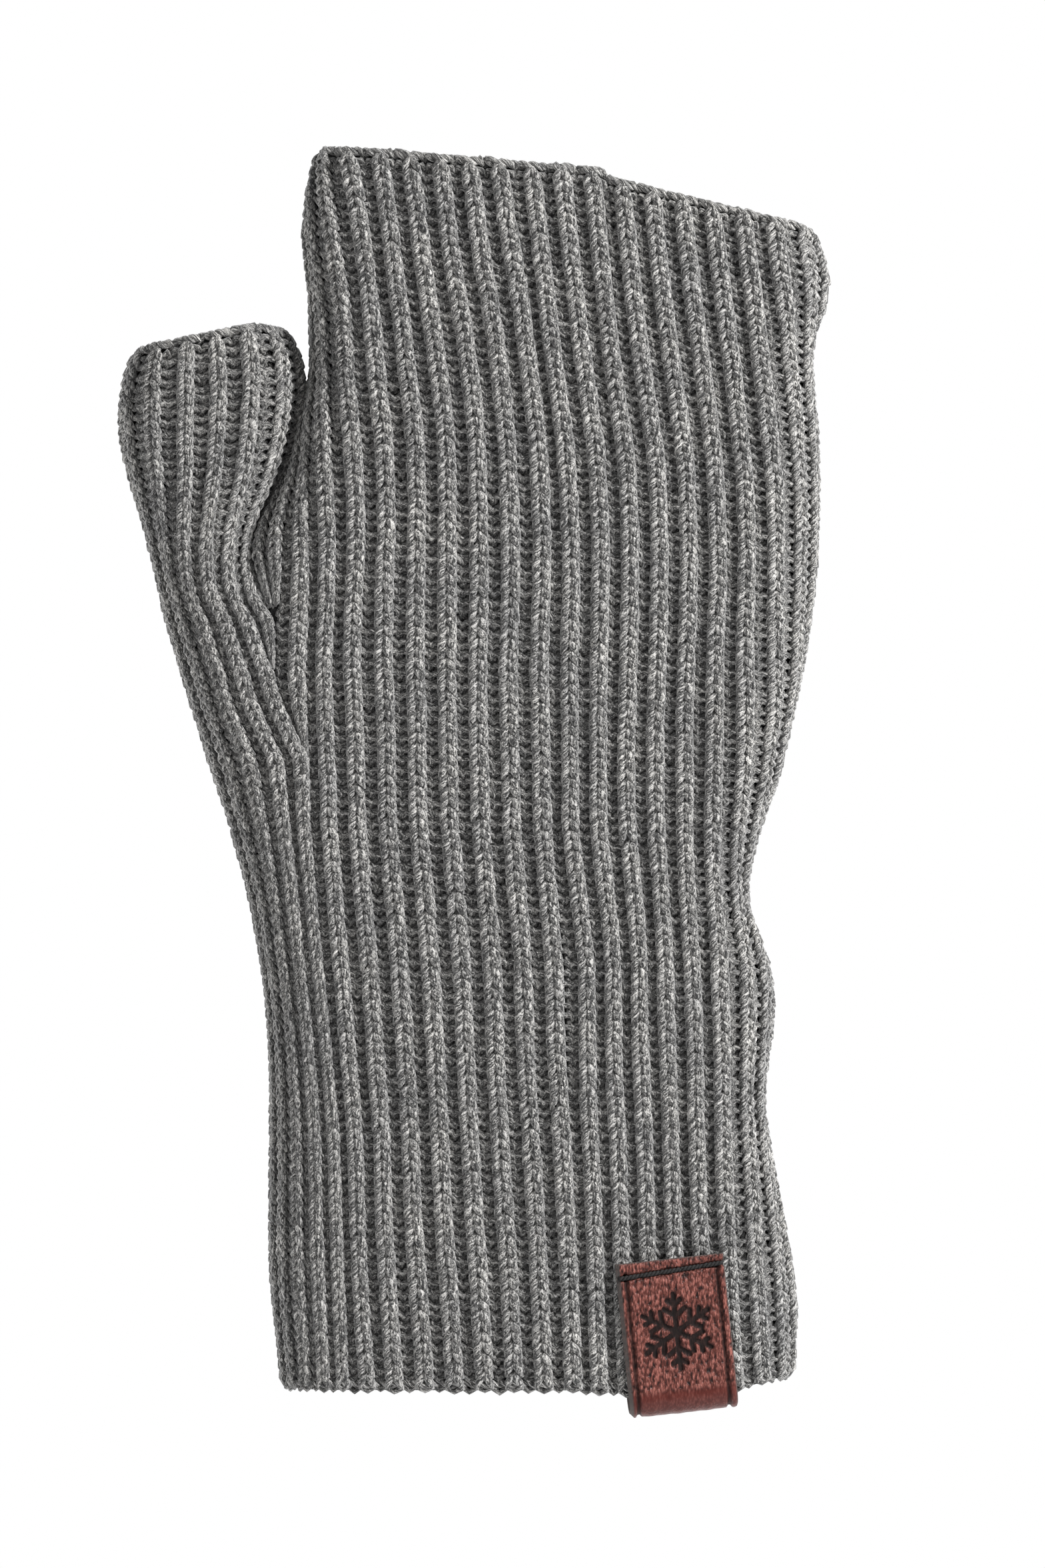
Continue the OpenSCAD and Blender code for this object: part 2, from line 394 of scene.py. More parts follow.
@dataclass(frozen=True)
class LeatherFinish:
    """Red-brown pebbled leather with a soft gloss."""

    name: str = "tag_leather"
    # the darkest and lightest of these three tones are painted shade in the grain's hollows and a painted
    # highlight on its tops; the middle one is the leather's own colour
    deep: tuple = (0.009, 0.0026, 0.0020)
    body: tuple = (0.080, 0.0222, 0.0168)
    high: tuple = (0.245, 0.090, 0.072)
    stops: tuple = (0.02, 0.24, 0.48)
    fold: tuple = (0.062, 0.0125, 0.0095)
    burnt: tuple = (0.003, 0.0018, 0.0016)
    cut: tuple = (0.085, 0.080, 0.076)
    grain_stretch: tuple = (1.0, 1.0, 0.45)
    pebble_scale: float = 3000.0
    pebble_depth: float = -0.55
    wrinkle_scale: float = 1900.0
    cloud_scale: float = 140.0
    cloud: tuple = ((0.3, (0.86, 0.84, 0.84)), (0.7, (1.08, 1.08, 1.08)))
    fold_share: float = 0.8
    burnt_share: float = 0.95
    cut_share: float = 0.85
    gloss_rough: float = 0.36
    worn_rough: float = 0.4
    pressed_calm: float = 0.7
    specular: float = 0.18
    bump: float = 1.0
    bump_depth: float = 0.00042

    def build(self) -> bpy.types.Material:
        """Makes the material: short upright wrinkles, with a painted highlight on their tops and painted
        shade in their hollows.
        """
        sheet = NodeSheet(self.name)
        place = sheet.place()
        stretch = sheet.add("ShaderNodeMapping")
        stretch.inputs["Scale"].default_value = self.grain_stretch
        sheet.link(place, stretch.inputs["Vector"])
        cells = sheet.add("ShaderNodeTexVoronoi", feature="SMOOTH_F1")
        cells.inputs["Scale"].default_value = self.pebble_scale
        sheet.link(stretch.outputs["Vector"], cells.inputs["Vector"])
        wrinkle = sheet.noise(stretch.outputs["Vector"], self.wrinkle_scale, 3.0, 0.6).outputs["Fac"]
        pebble = sheet.math("MULTIPLY", cells.outputs["Distance"], self.pebble_depth)
        height = sheet.math("ADD", pebble, wrinkle)
        # the grain's height picks painted shade in its hollows and a painted highlight on its tops
        ramp = sheet.ramp(height, list(zip(self.stops, (self.deep, self.body, self.high))))
        cloud = sheet.ramp(sheet.noise(place, self.cloud_scale, 2.0, 0.5).outputs["Fac"], self.cloud)
        colour = sheet.mix("MULTIPLY", 1.0, ramp.outputs["Color"], cloud.outputs["Color"])
        folded, pressed, bare = (sheet.attribute(name) for name in ("folded", "pressed", "bare"))
        for layer, share, tone in ((folded, self.fold_share, self.fold),
                                   (pressed, self.burnt_share, self.burnt),
                                   (bare, self.cut_share, self.cut)):
            colour = sheet.mix("MIX", sheet.math("MULTIPLY", layer, share), colour, tone)
        sheet.link(colour, sheet.shader.inputs["Base Color"])
        worn = sheet.math("MULTIPLY", sheet.math("MAXIMUM", bare, pressed), self.worn_rough)
        sheet.link(sheet.math("ADD", worn, self.gloss_rough), sheet.shader.inputs["Roughness"])
        sheet.shader.inputs["Specular IOR Level"].default_value = self.specular
        grain = sheet.math("MULTIPLY", height, sheet.less(folded, self.fold_share))
        grain = sheet.math("MULTIPLY", grain, sheet.less(pressed, self.pressed_calm))
        sheet.bump(grain, self.bump, self.bump_depth)
        return sheet.material


@dataclass(frozen=True)
class PlainFinish:
    """A fine-grained finish in two tones, for thread, satin ribbon and the floor."""

    name: str
    low: tuple
    high: tuple
    scale: float = 1800.0
    roughness: float = 0.7
    depth: float = 0.0002
    bump: float = 0.5

    def build(self) -> bpy.types.Material:
        """Makes the material."""
        sheet = NodeSheet(self.name)
        grain = sheet.noise(sheet.place(), self.scale, 3.0, 0.6).outputs["Fac"]
        ramp = sheet.ramp(grain, [(0.35, self.low), (0.65, self.high)])
        sheet.link(ramp.outputs["Color"], sheet.shader.inputs["Base Color"])
        sheet.shader.inputs["Roughness"].default_value = self.roughness
        sheet.bump(grain, self.bump, self.depth)
        return sheet.material


# ---------------------------------------------------------------- the glove's form


@dataclass(frozen=True)
class Form:
    """Outer size of the knitted tubes, in millimetres, as the CAD walls have it."""

    length: float
    wrist_z: float
    thumb_top: float = 183.6
    finger_drop: float = 14.0
    finger_right: float = 48.7
    hem_rise: float = 2.0
    hem_rise_across: tuple = (30.0, 46.0)
    hem_rise_up: float = 30.0
    hem_pull: float = 1.1
    pull_x: float = 23.0
    pull_wide: float = 9.0
    pull_up: float = 16.0
    part_z: float = 112.0
    web_z: float = 137.0
    split_z: float = 148.0
    wall: float = 2.4
    crown: float = 0.9
    thumb_crown: float = 0.4
    thumb_depth: float = 18.0
    blur: float = 4.0
    blur_reach: float = 12.0
    reading: float = 0.5
    beyond: float = 30.0
    # height, left edge, depth
    body: tuple = ((0, -44.7, 20), (4, -45.0, 20), (20, -46.8, 20), (50, -46.6, 20), (66, -47.2, 20),
                   (84, -50.0, 20), (98, -53.7, 20.5), (116, -59.5, 21.5), (134, -65.1, 22),
                   (147, -68.0, 22), (165, -69.4, 22), (190, -69.4, 20), (201, -69.4, 19), (216, -69.4, 18))
    # height and right edge
    right_edge: tuple = ((0, 44.6), (16, 45.3), (32, 42.2), (50, 39.1), (66, 41.7), (74, 40.8), (84, 35.6),
                         (93, 37.6), (107, 42.5), (125, 46.5), (144, 49.0), (166, 49.1), (181, 47.2),
                         (189, 51.0), (196, 51.2), (202, 46.6))
    # height and seam between thumb and hand
    web: tuple = ((137, -50.5), (146, -51.5), (149, -49.6), (153, -46.4), (158, -44.3), (165, -42.7),
                  (171, -41.4), (176, -39.9), (188, -39.9), (200, -40.9), (209, -39.9), (216, -37.6))
    # height, left edge, right edge of the stall
    thumb: tuple = ((137, -65.6, -50.5), (147, -68.0, -51.0), (153, -69.4, -45.8), (158, -71.2, -43.4),
                    (166, -72.6, -41.4), (173, -72.9, -40.2), (179, -72.6, -41.2), (183, -70.4, -43.2),
                    (187, -67.4, -44.8))
    # place across, and how far the thumb's edge has fallen there
    thumb_slope: tuple = ((-75.0, 4.0), (-49.0, -1.1), (-43.0, -0.2))

    def _read(self, table: tuple, column: int, z: np.ndarray) -> np.ndarray:
        """Reads one column of an outline, with its corners softened.

        Args:
            table: The outline, whose first column is the height.
            column: The column to read.
            z: Heights to read it at.

        Returns:
            The column's values there.
        """
        rows = np.array(table, float)
        grid = np.arange(-self.beyond, self.length + self.beyond, self.reading)
        values = np.interp(grid, rows[:, 0], rows[:, column])
        reach = np.arange(-self.blur_reach, self.blur_reach + self.reading, self.reading)
        weight = np.exp(-0.5 * (reach / self.blur) ** 2)
        weight /= weight.sum()
        padded = np.pad(values, len(reach) // 2, mode="edge")
        return np.interp(z, grid, np.convolve(padded, weight, mode="valid"))

    def left(self, z: np.ndarray) -> np.ndarray:
        """Left outline of the whole glove below the split."""
        return self._read(self.body, 1, z)

    def right(self, z: float) -> float:
        """Right outline of the course that starts at height z on the left."""
        return self._read(self.right_edge, 1, z + self.lift(self.finger_right, z))

    def depth(self, z: np.ndarray) -> np.ndarray:
        """Front-to-back depth of the hand's tube."""
        return self._read(self.body, 2, z)

    def lift(self, x: np.ndarray, z: float) -> np.ndarray:
        """How far a course lies above its own number at x, as it nears the finger edge or the hem.

        Args:
            x: Place across the hand.
            z: The course's height by number.

        Returns:
            The lift, mostly below zero.
        """
        rise = np.clip((z - self.wrist_z) / (self.length - self.wrist_z), 0.0, 1.1)
        hem = self.hem_rise * smooth_step(*self.hem_rise_across, x)
        hem = hem * (1.0 - smooth_step(0.0, self.hem_rise_up, z))
        pull = self.hem_pull * np.exp(-((x - self.pull_x) / self.pull_wide) ** 2)
        return hem - pull * (1.0 - smooth_step(0.0, self.pull_up, z)) - self.finger_fall(x) * rise

    def seam(self, z: np.ndarray) -> np.ndarray:
        """Line where the thumb and the hand part."""
        rows = np.array(self.web, float)
        return np.interp(z, rows[:, 0], rows[:, 1])

    def thumb_left(self, z: np.ndarray) -> np.ndarray:
        """Outer edge of the stall."""
        return self._read(self.thumb, 1, z)

    def thumb_right(self, z: np.ndarray) -> np.ndarray:
        """Inner edge of the stall."""
        rows = np.array(self.thumb, float)
        return np.interp(z, rows[:, 0], rows[:, 2])

    def finger_fall(self, x: np.ndarray) -> np.ndarray:
        """How far the finger edge has fallen at x, gently to its middle and then faster."""
        return np.interp(x, [-80.0, -40.5, 11.0, 12.8, 48.7, 60.0],
                         [-2.0, -0.9, 3.6, 5.2, self.finger_drop - 0.2, self.finger_drop + 2.3])

    def thumb_fall(self, x: np.ndarray) -> np.ndarray:
        """How far the thumb edge has fallen at x."""
        return np.interp(x, *zip(*self.thumb_slope))


def oval_height(x: np.ndarray, low: float, high: float, depth: float, crown: float) -> np.ndarray:
    """Half depth of a flattened oval tube across its width.

    Args:
        x: Places across the tube.
        low: Its left edge.
        high: Its right edge.
        depth: Its depth between the flat faces.
        crown: How far the faces swell at the middle.

    Returns:
        The half depth at each place, and 0 outside.
    """
    r = min(depth / 2.0, max((high - low) / 2.0, 0.01))
    edge = np.minimum(x - low, high - x)
    inside = edge > 0
    rim = np.clip(edge, 0.0, r)
    height = np.sqrt(np.maximum(r * r - (r - rim) ** 2, 0.0))
    swell = np.clip(edge / max((high - low) / 2.0, 0.01), 0.0, 1.0)
    return np.where(inside, height + crown * smooth_step(0.0, 0.8, swell), 0.0)


@dataclass(frozen=True)
class RibPlan:
    """How many ribs the glove has, counted leftward from the palm's middle rib, and how wide they are."""

    front: int = 7
    right: int = 10
    back: int = 17
    hand_side: int = 3
    thumb_side: int = 5
    knit_share: float = 0.555
    thumb_share: float = 0.46
    course: float = 1.85
    least: float = 0.4
    newborn: float = 0.14
    hand_pitch: float = 4.0
    side_swell: float = 1.3
    first_thumb_swell: tuple = (120.0, 137.0)
    first_hand_swell: tuple = (106.0, 124.0)
    last_front: tuple = (0.94, 0.84)
    # height and place of the middle rib, and height and pitch of the ribs left and right of it
    middle: tuple = ((0, 6.2), (30, 4.8), (74, 3.2), (98, 0.9), (125, 0.1), (150, 0.6), (165, 0.1),
                     (185, -2.5), (206, -5.2), (216, -6.6))
    pitch_left: tuple = ((0, 5.15), (44, 5.15), (74, 5.4), (165, 5.35), (185, 5.15), (216, 5.3))
    pitch_right: tuple = ((0, 4.7), (50, 4.6), (90, 4.7), (125, 5.1), (165, 5.05), (216, 5.3))

    @property
    def hand_run(self) -> int:
        """Ribs from the middle rib to the crotch."""
        return 1 + self.front + self.hand_side

    @property
    def thumb_run(self) -> int:
        """Ribs of the thumb's side on one face."""
        return 2 + self.thumb_side

    @property
    def whole(self) -> int:
        """Ribs round the glove below the crotch."""
        return self.hand_run + 2 * self.thumb_run + self.hand_side + self.back + self.right

    @property
    def thumb_start(self) -> int:
        """First wale of the thumb. A rib is two wales, one knit and one purl."""
        return 2 * self.hand_run

    @property
    def thumb_end(self) -> int:
        """First wale after the thumb, whose ribs run over both faces."""
        return self.thumb_start + 4 * self.thumb_run


class Tube:
    """One knitted tube: a grid of places and outward normals over ribs and courses.

    A wale's number in the whole glove is its number here plus first_wale, and plus jump from jump_at on.
    """

    samples = 4
    first_wale = 0
    jump_at = 1.0e9
    jump = 0

    def __init__(self, widths: np.ndarray, rows: np.ndarray, places: np.ndarray,
                 normals: np.ndarray) -> None:
        """Keeps the grid.

        Args:
            widths: Each wale's width at each row, one line a row.
            rows: The rows' numbers.
            places: Points, by row and sample, four samples a wale.
            normals: Outward directions, in the same order.
        """
        self.widths = widths
        self.rows = rows
        self.places = places
        self.normals = normals

    def at(self, wale: np.ndarray, row: np.ndarray, out: np.ndarray) -> tuple[np.ndarray, np.ndarray]:
        """Finds points of the tube.

        Args:
            wale: Place across, counted in wales.
            row: Height, counted in courses.
            out: Distance outward, in millimetres.

        Returns:
            The points, and the normals there.
        """
        columns = self.places.shape[1] - 1
        c = np.clip(wale * self.samples, 0.0, columns - 1e-6)
        r = np.clip(row - self.rows[0], 0.0, len(self.rows) - 1.000001)
        c0 = np.floor(c).astype(int)
        r0 = np.floor(r).astype(int)
        fc = (c - c0)[..., None]
        fr = (r - r0)[..., None]

        def mix(grid: np.ndarray) -> np.ndarray:
            """Reads a grid between its samples.

            Args:
                grid: Places or normals, by row and sample.

            Returns:
                The values at the wales and rows asked for.
            """
            lower = grid[r0, c0] * (1 - fc) + grid[r0, c0 + 1] * fc
            upper = grid[r0 + 1, c0] * (1 - fc) + grid[r0 + 1, c0 + 1] * fc
            return lower * (1 - fr) + upper * fr

        normal = mix(self.normals)
        normal /= np.linalg.norm(normal, axis=-1, keepdims=True)
        return mix(self.places) + normal * np.asarray(out)[..., None], normal


class Knitter:
    """Works out where every wale and course of the glove lies."""

    face_steps = 160
    normal_reach = 0.5
    ease_rows = 16
    ease_kernel = 8
    ease_sigma = 2.8
    ease_full = 3.0
    ease_none = 10.0

    def __init__(self, form: Form, plan: RibPlan) -> None:
        """Sets out the courses.

        Args:
            form: The glove's outer form.
            plan: Its ribs and courses.
        """
        self.form = form
        self.plan = plan
        self.body_rows = int(form.length / plan.course)
        self.split_row = int(round(form.split_z / plan.course))
        self.part_row = int(round(form.part_z / plan.course))
        self.thumb_rows = int(form.thumb_top / plan.course)

    def _profile(self, z: float, part: str) -> tuple[np.ndarray, np.ndarray]:
        """Walks one face of a section, from its right edge to its left.

        Args:
            z: Height of the section.
            part: "whole", "hand" or "thumb".

        Returns:
            The x places and the half depths there.
        """
        form = self.form
        inset = form.wall / 2.0
        right = float(form.right(z)) - inset
        seam = float(form.seam(z))
        depth = float(form.depth(z)) - form.wall
        turn = 0.5 - 0.5 * np.cos(np.linspace(0.0, math.pi, self.face_steps + 1))
        if part == "hand":
            x = right + (seam + inset - right) * turn
            return x, oval_height(x, seam + inset, right, depth, form.crown)
        if part == "thumb":
            low, high = float(form.thumb_left(z)) + inset, float(form.thumb_right(z)) - inset
            x = high + (low - high) * turn
            return x, oval_height(x, low, high, form.thumb_depth - form.wall, form.thumb_crown)
        left = float(form.left(z)) + inset
        share = float(smooth_step(form.web_z, form.split_z, z))
        x = np.concatenate([right + (seam - right) * turn, seam + (left - seam) * turn[1:]])
        if share == 0.0:
            whole_turn = 0.5 - 0.5 * np.cos(np.linspace(0.0, math.pi, 2 * self.face_steps + 1))
            x = right + (left - right) * whole_turn
        whole = oval_height(x, left, right, depth, form.crown)
        hand = oval_height(x, seam, right, depth, form.crown)
        stall = oval_height(x, left, seam, form.thumb_depth - form.wall, form.thumb_crown)
        return x, whole * (1.0 - share) + np.maximum(hand, stall) * share

    def _widths(self, z: float, part: str, to_middle: float, half: float) -> np.ndarray:
        """Rib widths round a section, leftward from the middle rib.

        Args:
            z: Height.
            part: "whole" or "hand".
            to_middle: Length of the face from its right edge to the middle rib.
            half: Length of the whole face.

        Returns:
            One width a rib.
        """
        plan, form = self.plan, self.form
        pitch = float(np.interp(z, *zip(*plan.pitch_left)))
        right_pitch = float(np.interp(z, *zip(*plan.pitch_right)))
        front = np.full(plan.front, pitch)
        front[-len(plan.last_front):] *= plan.last_front
        rest = half - to_middle - pitch * (1.0 - plan.knit_share / 2.0) - front.sum()
        crotch = float(smooth_step(form.web_z - 6.0, form.split_z, z))
        if part == "hand":
            slim = float(smooth_step(form.split_z, form.length - 8.0, z))
            hand = np.full(plan.hand_side, rest / plan.hand_side * (1.0 - slim) + plan.hand_pitch * slim)
            side = np.concatenate([hand, hand])
        else:
            hand = np.full(plan.hand_side, plan.side_swell * crotch)
            hand[0] = plan.side_swell * float(smooth_step(*plan.first_hand_swell, z))
            first = [crotch, float(smooth_step(*plan.first_thumb_swell, z))]
            face = np.concatenate([hand, first, np.ones(plan.thumb_side)])
            face[face < plan.newborn] = 0.0
            face *= rest / face.sum()
            side = np.concatenate([face, face[::-1]])
        right = np.full(plan.right, right_pitch)
        used = pitch + front.sum() + side.sum() + right.sum()
        back = np.full(plan.back, (2.0 * half - used) / plan.back)
        return np.concatenate([[pitch], front, side, back, right])

    def _ring(self, z: float, part: str) -> tuple[np.ndarray, np.ndarray, np.ndarray]:
        """Lays the wales round one section.

        Args:
            z: Height of the section.
            part: "whole", "hand" or "thumb".

        Returns:
            The wales' widths, their sample points in x and y, and the outward normals.
        """
        plan = self.plan
        x, h = self._profile(z, part)
        line = np.concatenate([np.stack([x, -h], 1), np.stack([x[::-1], h[::-1]], 1)[1:]])
        walk = np.concatenate([[0.0], np.cumsum(np.linalg.norm(np.diff(line, axis=0), axis=1))])
        half = walk[-1] / 2.0
        if part == "thumb":
            ribs = np.full(2 * plan.thumb_run, half / plan.thumb_run)
            start, share = 0.0, plan.thumb_share
        else:
            middle = float(np.interp(z, *zip(*plan.middle)))
            to_middle = float(np.interp(-middle, -x, walk[:len(x)]))
            ribs = self._widths(z, part, to_middle, half)
            share = plan.knit_share
            start = to_middle - ribs[0] * share / 2.0
        wales = np.stack([ribs * share, ribs * (1.0 - share)], 1).ravel()
        edges = np.concatenate([[0.0], np.cumsum(wales)])
        count = len(wales) * Tube.samples
        marks = np.interp(np.arange(count + 1) / Tube.samples, np.arange(len(wales) + 1), edges) + start
        behind, place, ahead = (
            np.stack([np.interp(np.mod(marks + shift, walk[-1]), walk, line[:, k]) for k in (0, 1)], 1)
            for shift in (-self.normal_reach, 0.0, self.normal_reach))
        along = ahead - behind
        along /= np.maximum(np.linalg.norm(along, axis=1, keepdims=True), TINY)
        return wales, place, np.stack([-along[:, 1], along[:, 0]], 1)

    def tube(self, part: str, first: int, last: int) -> Tube:
        """Builds the grid of one tube.

        Args:
            part: "whole", "hand" or "thumb".
            first: Its first row.
            last: Its last row.

        Returns:
            The tube.
        """
        form = self.form
        rows = np.arange(first, last + 1)
        widths, places, normals = [], [], []
        for row in rows:
            z = row * self.plan.course
            ring, xy, normal = self._ring(z, part)
            if part == "thumb":
                lift = -form.thumb_fall(xy[:, 0]) * float(smooth_step(form.split_z, form.thumb_top, z))
            else:
                lift = form.lift(xy[:, 0], z)
                if part == "whole" and z > form.web_z:
                    lift = lift * smooth_step(-52.0, -44.0, xy[:, 0])
            widths.append(ring)
            places.append(np.column_stack([xy, z + lift]))
            normals.append(np.column_stack([normal, np.zeros(len(normal))]))
        return Tube(np.array(widths), rows, np.array(places), np.array(normals))

    def ease(self, below: Tube, above: Tube, low_columns: np.ndarray, high_columns: np.ndarray) -> None:
        """Lets the wales of two tubes run smoothly into each other where the glove splits.

        Args:
            below: The tube under the split.
            above: The tube over the split.
            low_columns: Sample columns of the lower tube.
            high_columns: The same wales' columns in the upper tube.
        """
        split, reach, half = self.split_row, self.ease_rows, self.ease_kernel
        rows = np.arange(split - reach, split + reach)
        weight = 1.0 - smooth_step(self.ease_full, self.ease_none, np.abs(rows - split + 0.5))
        weight = weight[:, None, None]
        offsets = np.arange(-half, half + 1)
        kernel = np.exp(-0.5 * (offsets / self.ease_sigma) ** 2)
        kernel /= kernel.sum()
        for name in ("places", "normals"):
            low, high = getattr(below, name), getattr(above, name)
            joint = np.concatenate([low[rows[:reach] - below.rows[0]][:, low_columns],
                                    high[rows[reach:] - above.rows[0]][:, high_columns]])
            if name == "normals":
                joint /= np.linalg.norm(joint, axis=2, keepdims=True)
            padded = np.pad(joint, ((half, half), (0, 0), (0, 0)), mode="reflect", reflect_type="odd")
            soft = sum(k * padded[half + o:half + o + len(rows)] for k, o in zip(kernel, offsets))
            joint = joint * (1.0 - weight) + soft * weight
            for tube, grid, columns in ((below, low, low_columns), (above, high, high_columns)):
                own = (rows >= tube.rows[0]) & (rows <= tube.rows[-1])
                grid[np.ix_(rows[own] - tube.rows[0], columns)] = joint[own]


# ---------------------------------------------------------------- yarn


@dataclass(frozen=True)
class Loop:
    """Shape of one stitch: its sinker arc, its left leg, its head and its right leg.

    Each key point is the share of the wale's width, the height in courses, the distance out, and the yarn's
    thickness there. The legs lean together at the top and stand in front of the arcs that join them. A purl
    stitch is the same loop turned inward, with its arcs standing out by `bump`.
    """

    yarn: float = 0.57
    sides: int = 6
    bump: float = 0.27
    bump_thick: float = 0.12
    keys: tuple = (
        (0.00, 0.96, 0.00, 0.86),
        (0.25, 1.00, 0.18, 0.90),
        (0.45, 0.72, 0.46, 1.00),
        (0.36, 0.28, 1.04, 1.16),
        (0.15, -0.22, 1.12, 1.18),
        (0.04, -0.72, 0.50, 0.94),
        (0.50, -1.04, 0.14, 0.84),
        (0.90, -0.72, 0.50, 0.92),
        (0.84, -0.24, 1.08, 1.14),
        (0.66, 0.24, 1.00, 1.12),
        (0.56, 0.70, 0.46, 0.98),
        (0.76, 0.99, 0.18, 0.90),
    )


class Yarn:
    """Collects the courses of one piece and sweeps them into a mesh.

    Each point also gets its place in the yarn's own fibres: round the strand, wound on a ring as long as
    the strand is, so that the pattern closes where the strand does.
    """

    twist = 1.25
    draw = 0.30
    girth = 1.55
    strand_shift = 7.3
    lane_share = 0.92
    lane_girth = 1.25
    margin = 0.002

    def __init__(self, name: str, loop: Loop) -> None:
        """Starts an empty piece.

        Args:
            name: The piece's name.
            loop: Its stitch.
        """
        self.name = name
        self.loop = loop
        self.points: list = []
        self.quads: list = []
        self.caps: list = []
        self.fibre: list = []
        self.stand: list = []
        self.lay: list = []
        self.count = 0

    def sweep(self, path: np.ndarray, normal: np.ndarray, closed: bool, radius: np.ndarray, offset: float,
              out: np.ndarray | float = 0.9) -> None:
        """Adds one strand.

        Args:
            path: Its centre line, in millimetres.
            normal: A direction away from the fabric at each point.
            closed: Whether it joins up with itself.
            radius: Its radius at each point.
            offset: Where its fibre pattern starts.
            out: How far its centre line stands out of the fabric's middle.
        """
        sides = self.loop.sides
        n = len(path)
        if closed:
            tangent = np.roll(path, -1, 0) - np.roll(path, 1, 0)
            step = np.linalg.norm(np.roll(path, -1, 0) - path, axis=1)
        else:
            tangent = np.gradient(path, axis=0)
            step = np.append(np.linalg.norm(np.diff(path, axis=0), axis=1), 0.0)
        tangent /= np.linalg.norm(tangent, axis=1, keepdims=True)
        side = np.cross(tangent, normal)
        side /= np.maximum(np.linalg.norm(side, axis=1, keepdims=True), TINY)
        up = np.cross(side, tangent)
        length = np.concatenate([[0.0], np.cumsum(step)[:-1]])
        angle = np.arange(sides) / sides * TWO_PI
        ring = side[:, None, :] * np.cos(angle)[:, None] + up[:, None, :] * np.sin(angle)[:, None]
        verts = path[:, None, :] + ring * radius[:, None, None]
        reach_out = np.broadcast_to(out, n)[:, None] + (ring * normal[:, None, :]).sum(-1) * radius[:, None]
        total = float(step.sum())
        turns = round(total * self.twist / TWO_PI) if closed else total * self.twist / TWO_PI
        turn = angle[None, :] + length[:, None] / total * turns * TWO_PI
        ring_radius = total * self.draw / TWO_PI
        round_way = length[:, None] / total * TWO_PI + offset
        reach = ring_radius + self.girth * np.cos(turn)
        fibre = np.stack([reach * np.cos(round_way), reach * np.sin(round_way),
                          self.girth * np.sin(turn) + self.strand_shift * offset], -1)
        start = self.count
        rows = n if closed else n - 1
        i = np.arange(rows)[:, None]
        j = np.arange(sides)[None, :]
        i1 = (i + 1) % n
        j1 = (j + 1) % sides
        quads = np.stack([i * sides + j, i * sides + j1, i1 * sides + j1, i1 * sides + j], -1)
        quads = quads.reshape(-1, 4)
        self.points.append(verts.reshape(-1, 3))
        self.quads.append(quads + start)
        self.fibre.append(fibre.reshape(-1, 3))
        self.stand.append(reach_out.ravel())
        if not closed:
            self.caps.append((np.arange(sides)[::-1] + start).tolist())
            self.caps.append((np.arange(sides) + start + (n - 1) * sides).tolist())
        ends = length + step
        self.lay.append((length[:rows], ends[:rows], sides))
        self.count += n * sides

    def build(self) -> bpy.types.Object:
        """Makes the mesh, its fibre attribute and its baking layout.

        Returns:
            The piece.
        """
        points = np.concatenate(self.points)
        quads = np.concatenate(self.quads)
        piece = mesh_object(self.name, points, quads, self.caps)
        mesh = piece.data
        fibre = mesh.attributes.new("fibre", "FLOAT_VECTOR", "POINT")
        fibre.data.foreach_set("vector", np.concatenate(self.fibre).astype(np.float32).ravel())
        # how far each point stands out of the fabric, read by the wool finish for its painted shade
        stand = mesh.attributes.new("stand", "FLOAT", "POINT")
        stand.data.foreach_set("value", np.concatenate(self.stand).astype(np.float32))
        self._unwrap(mesh)
        return piece

    def _unwrap(self, mesh: bpy.types.Mesh) -> None:
        """Lays the strands side by side in strips that fill a square.

        Args:
            mesh: The mesh.
        """
        around = TWO_PI * self.loop.yarn * self.lane_girth
        total = sum(float(ends[-1]) for _, ends, _ in self.lay)
        strip = math.sqrt(total * around)
        strip_rows = math.ceil(total / strip) + 2
        uv = np.zeros((len(mesh.loops), 2), np.float32)
        cursor = 0.0
        at = 0
        for starts, ends, sides in self.lay:
            a = starts + cursor
            b = ends + cursor
            lane = np.floor(a / strip)
            u0 = (a - lane * strip) / strip
            u1 = np.minimum((b - lane * strip) / strip, 1.0)
            foot = lane[:, None] + (1.0 - self.lane_share) / 2.0
            j = np.arange(sides)[None, :]
            v0 = (foot + self.lane_share * j / sides) / strip_rows
            v1 = (foot + self.lane_share * (j + 1) / sides) / strip_rows
            u0 = np.broadcast_to(u0[:, None], v0.shape)
            u1 = np.broadcast_to(u1[:, None], v0.shape)
            block = np.stack([u0, v0, u0, v1, u1, v1, u1, v0], -1).reshape(-1, 2)
            uv[at:at + len(block)] = block
            at += len(block)
            cursor = float(b[-1])
        layer = mesh.uv_layers.new(name="OFBake")
        layer.data.foreach_set("uv", (uv * (1.0 - 2.0 * self.margin) + self.margin).ravel())


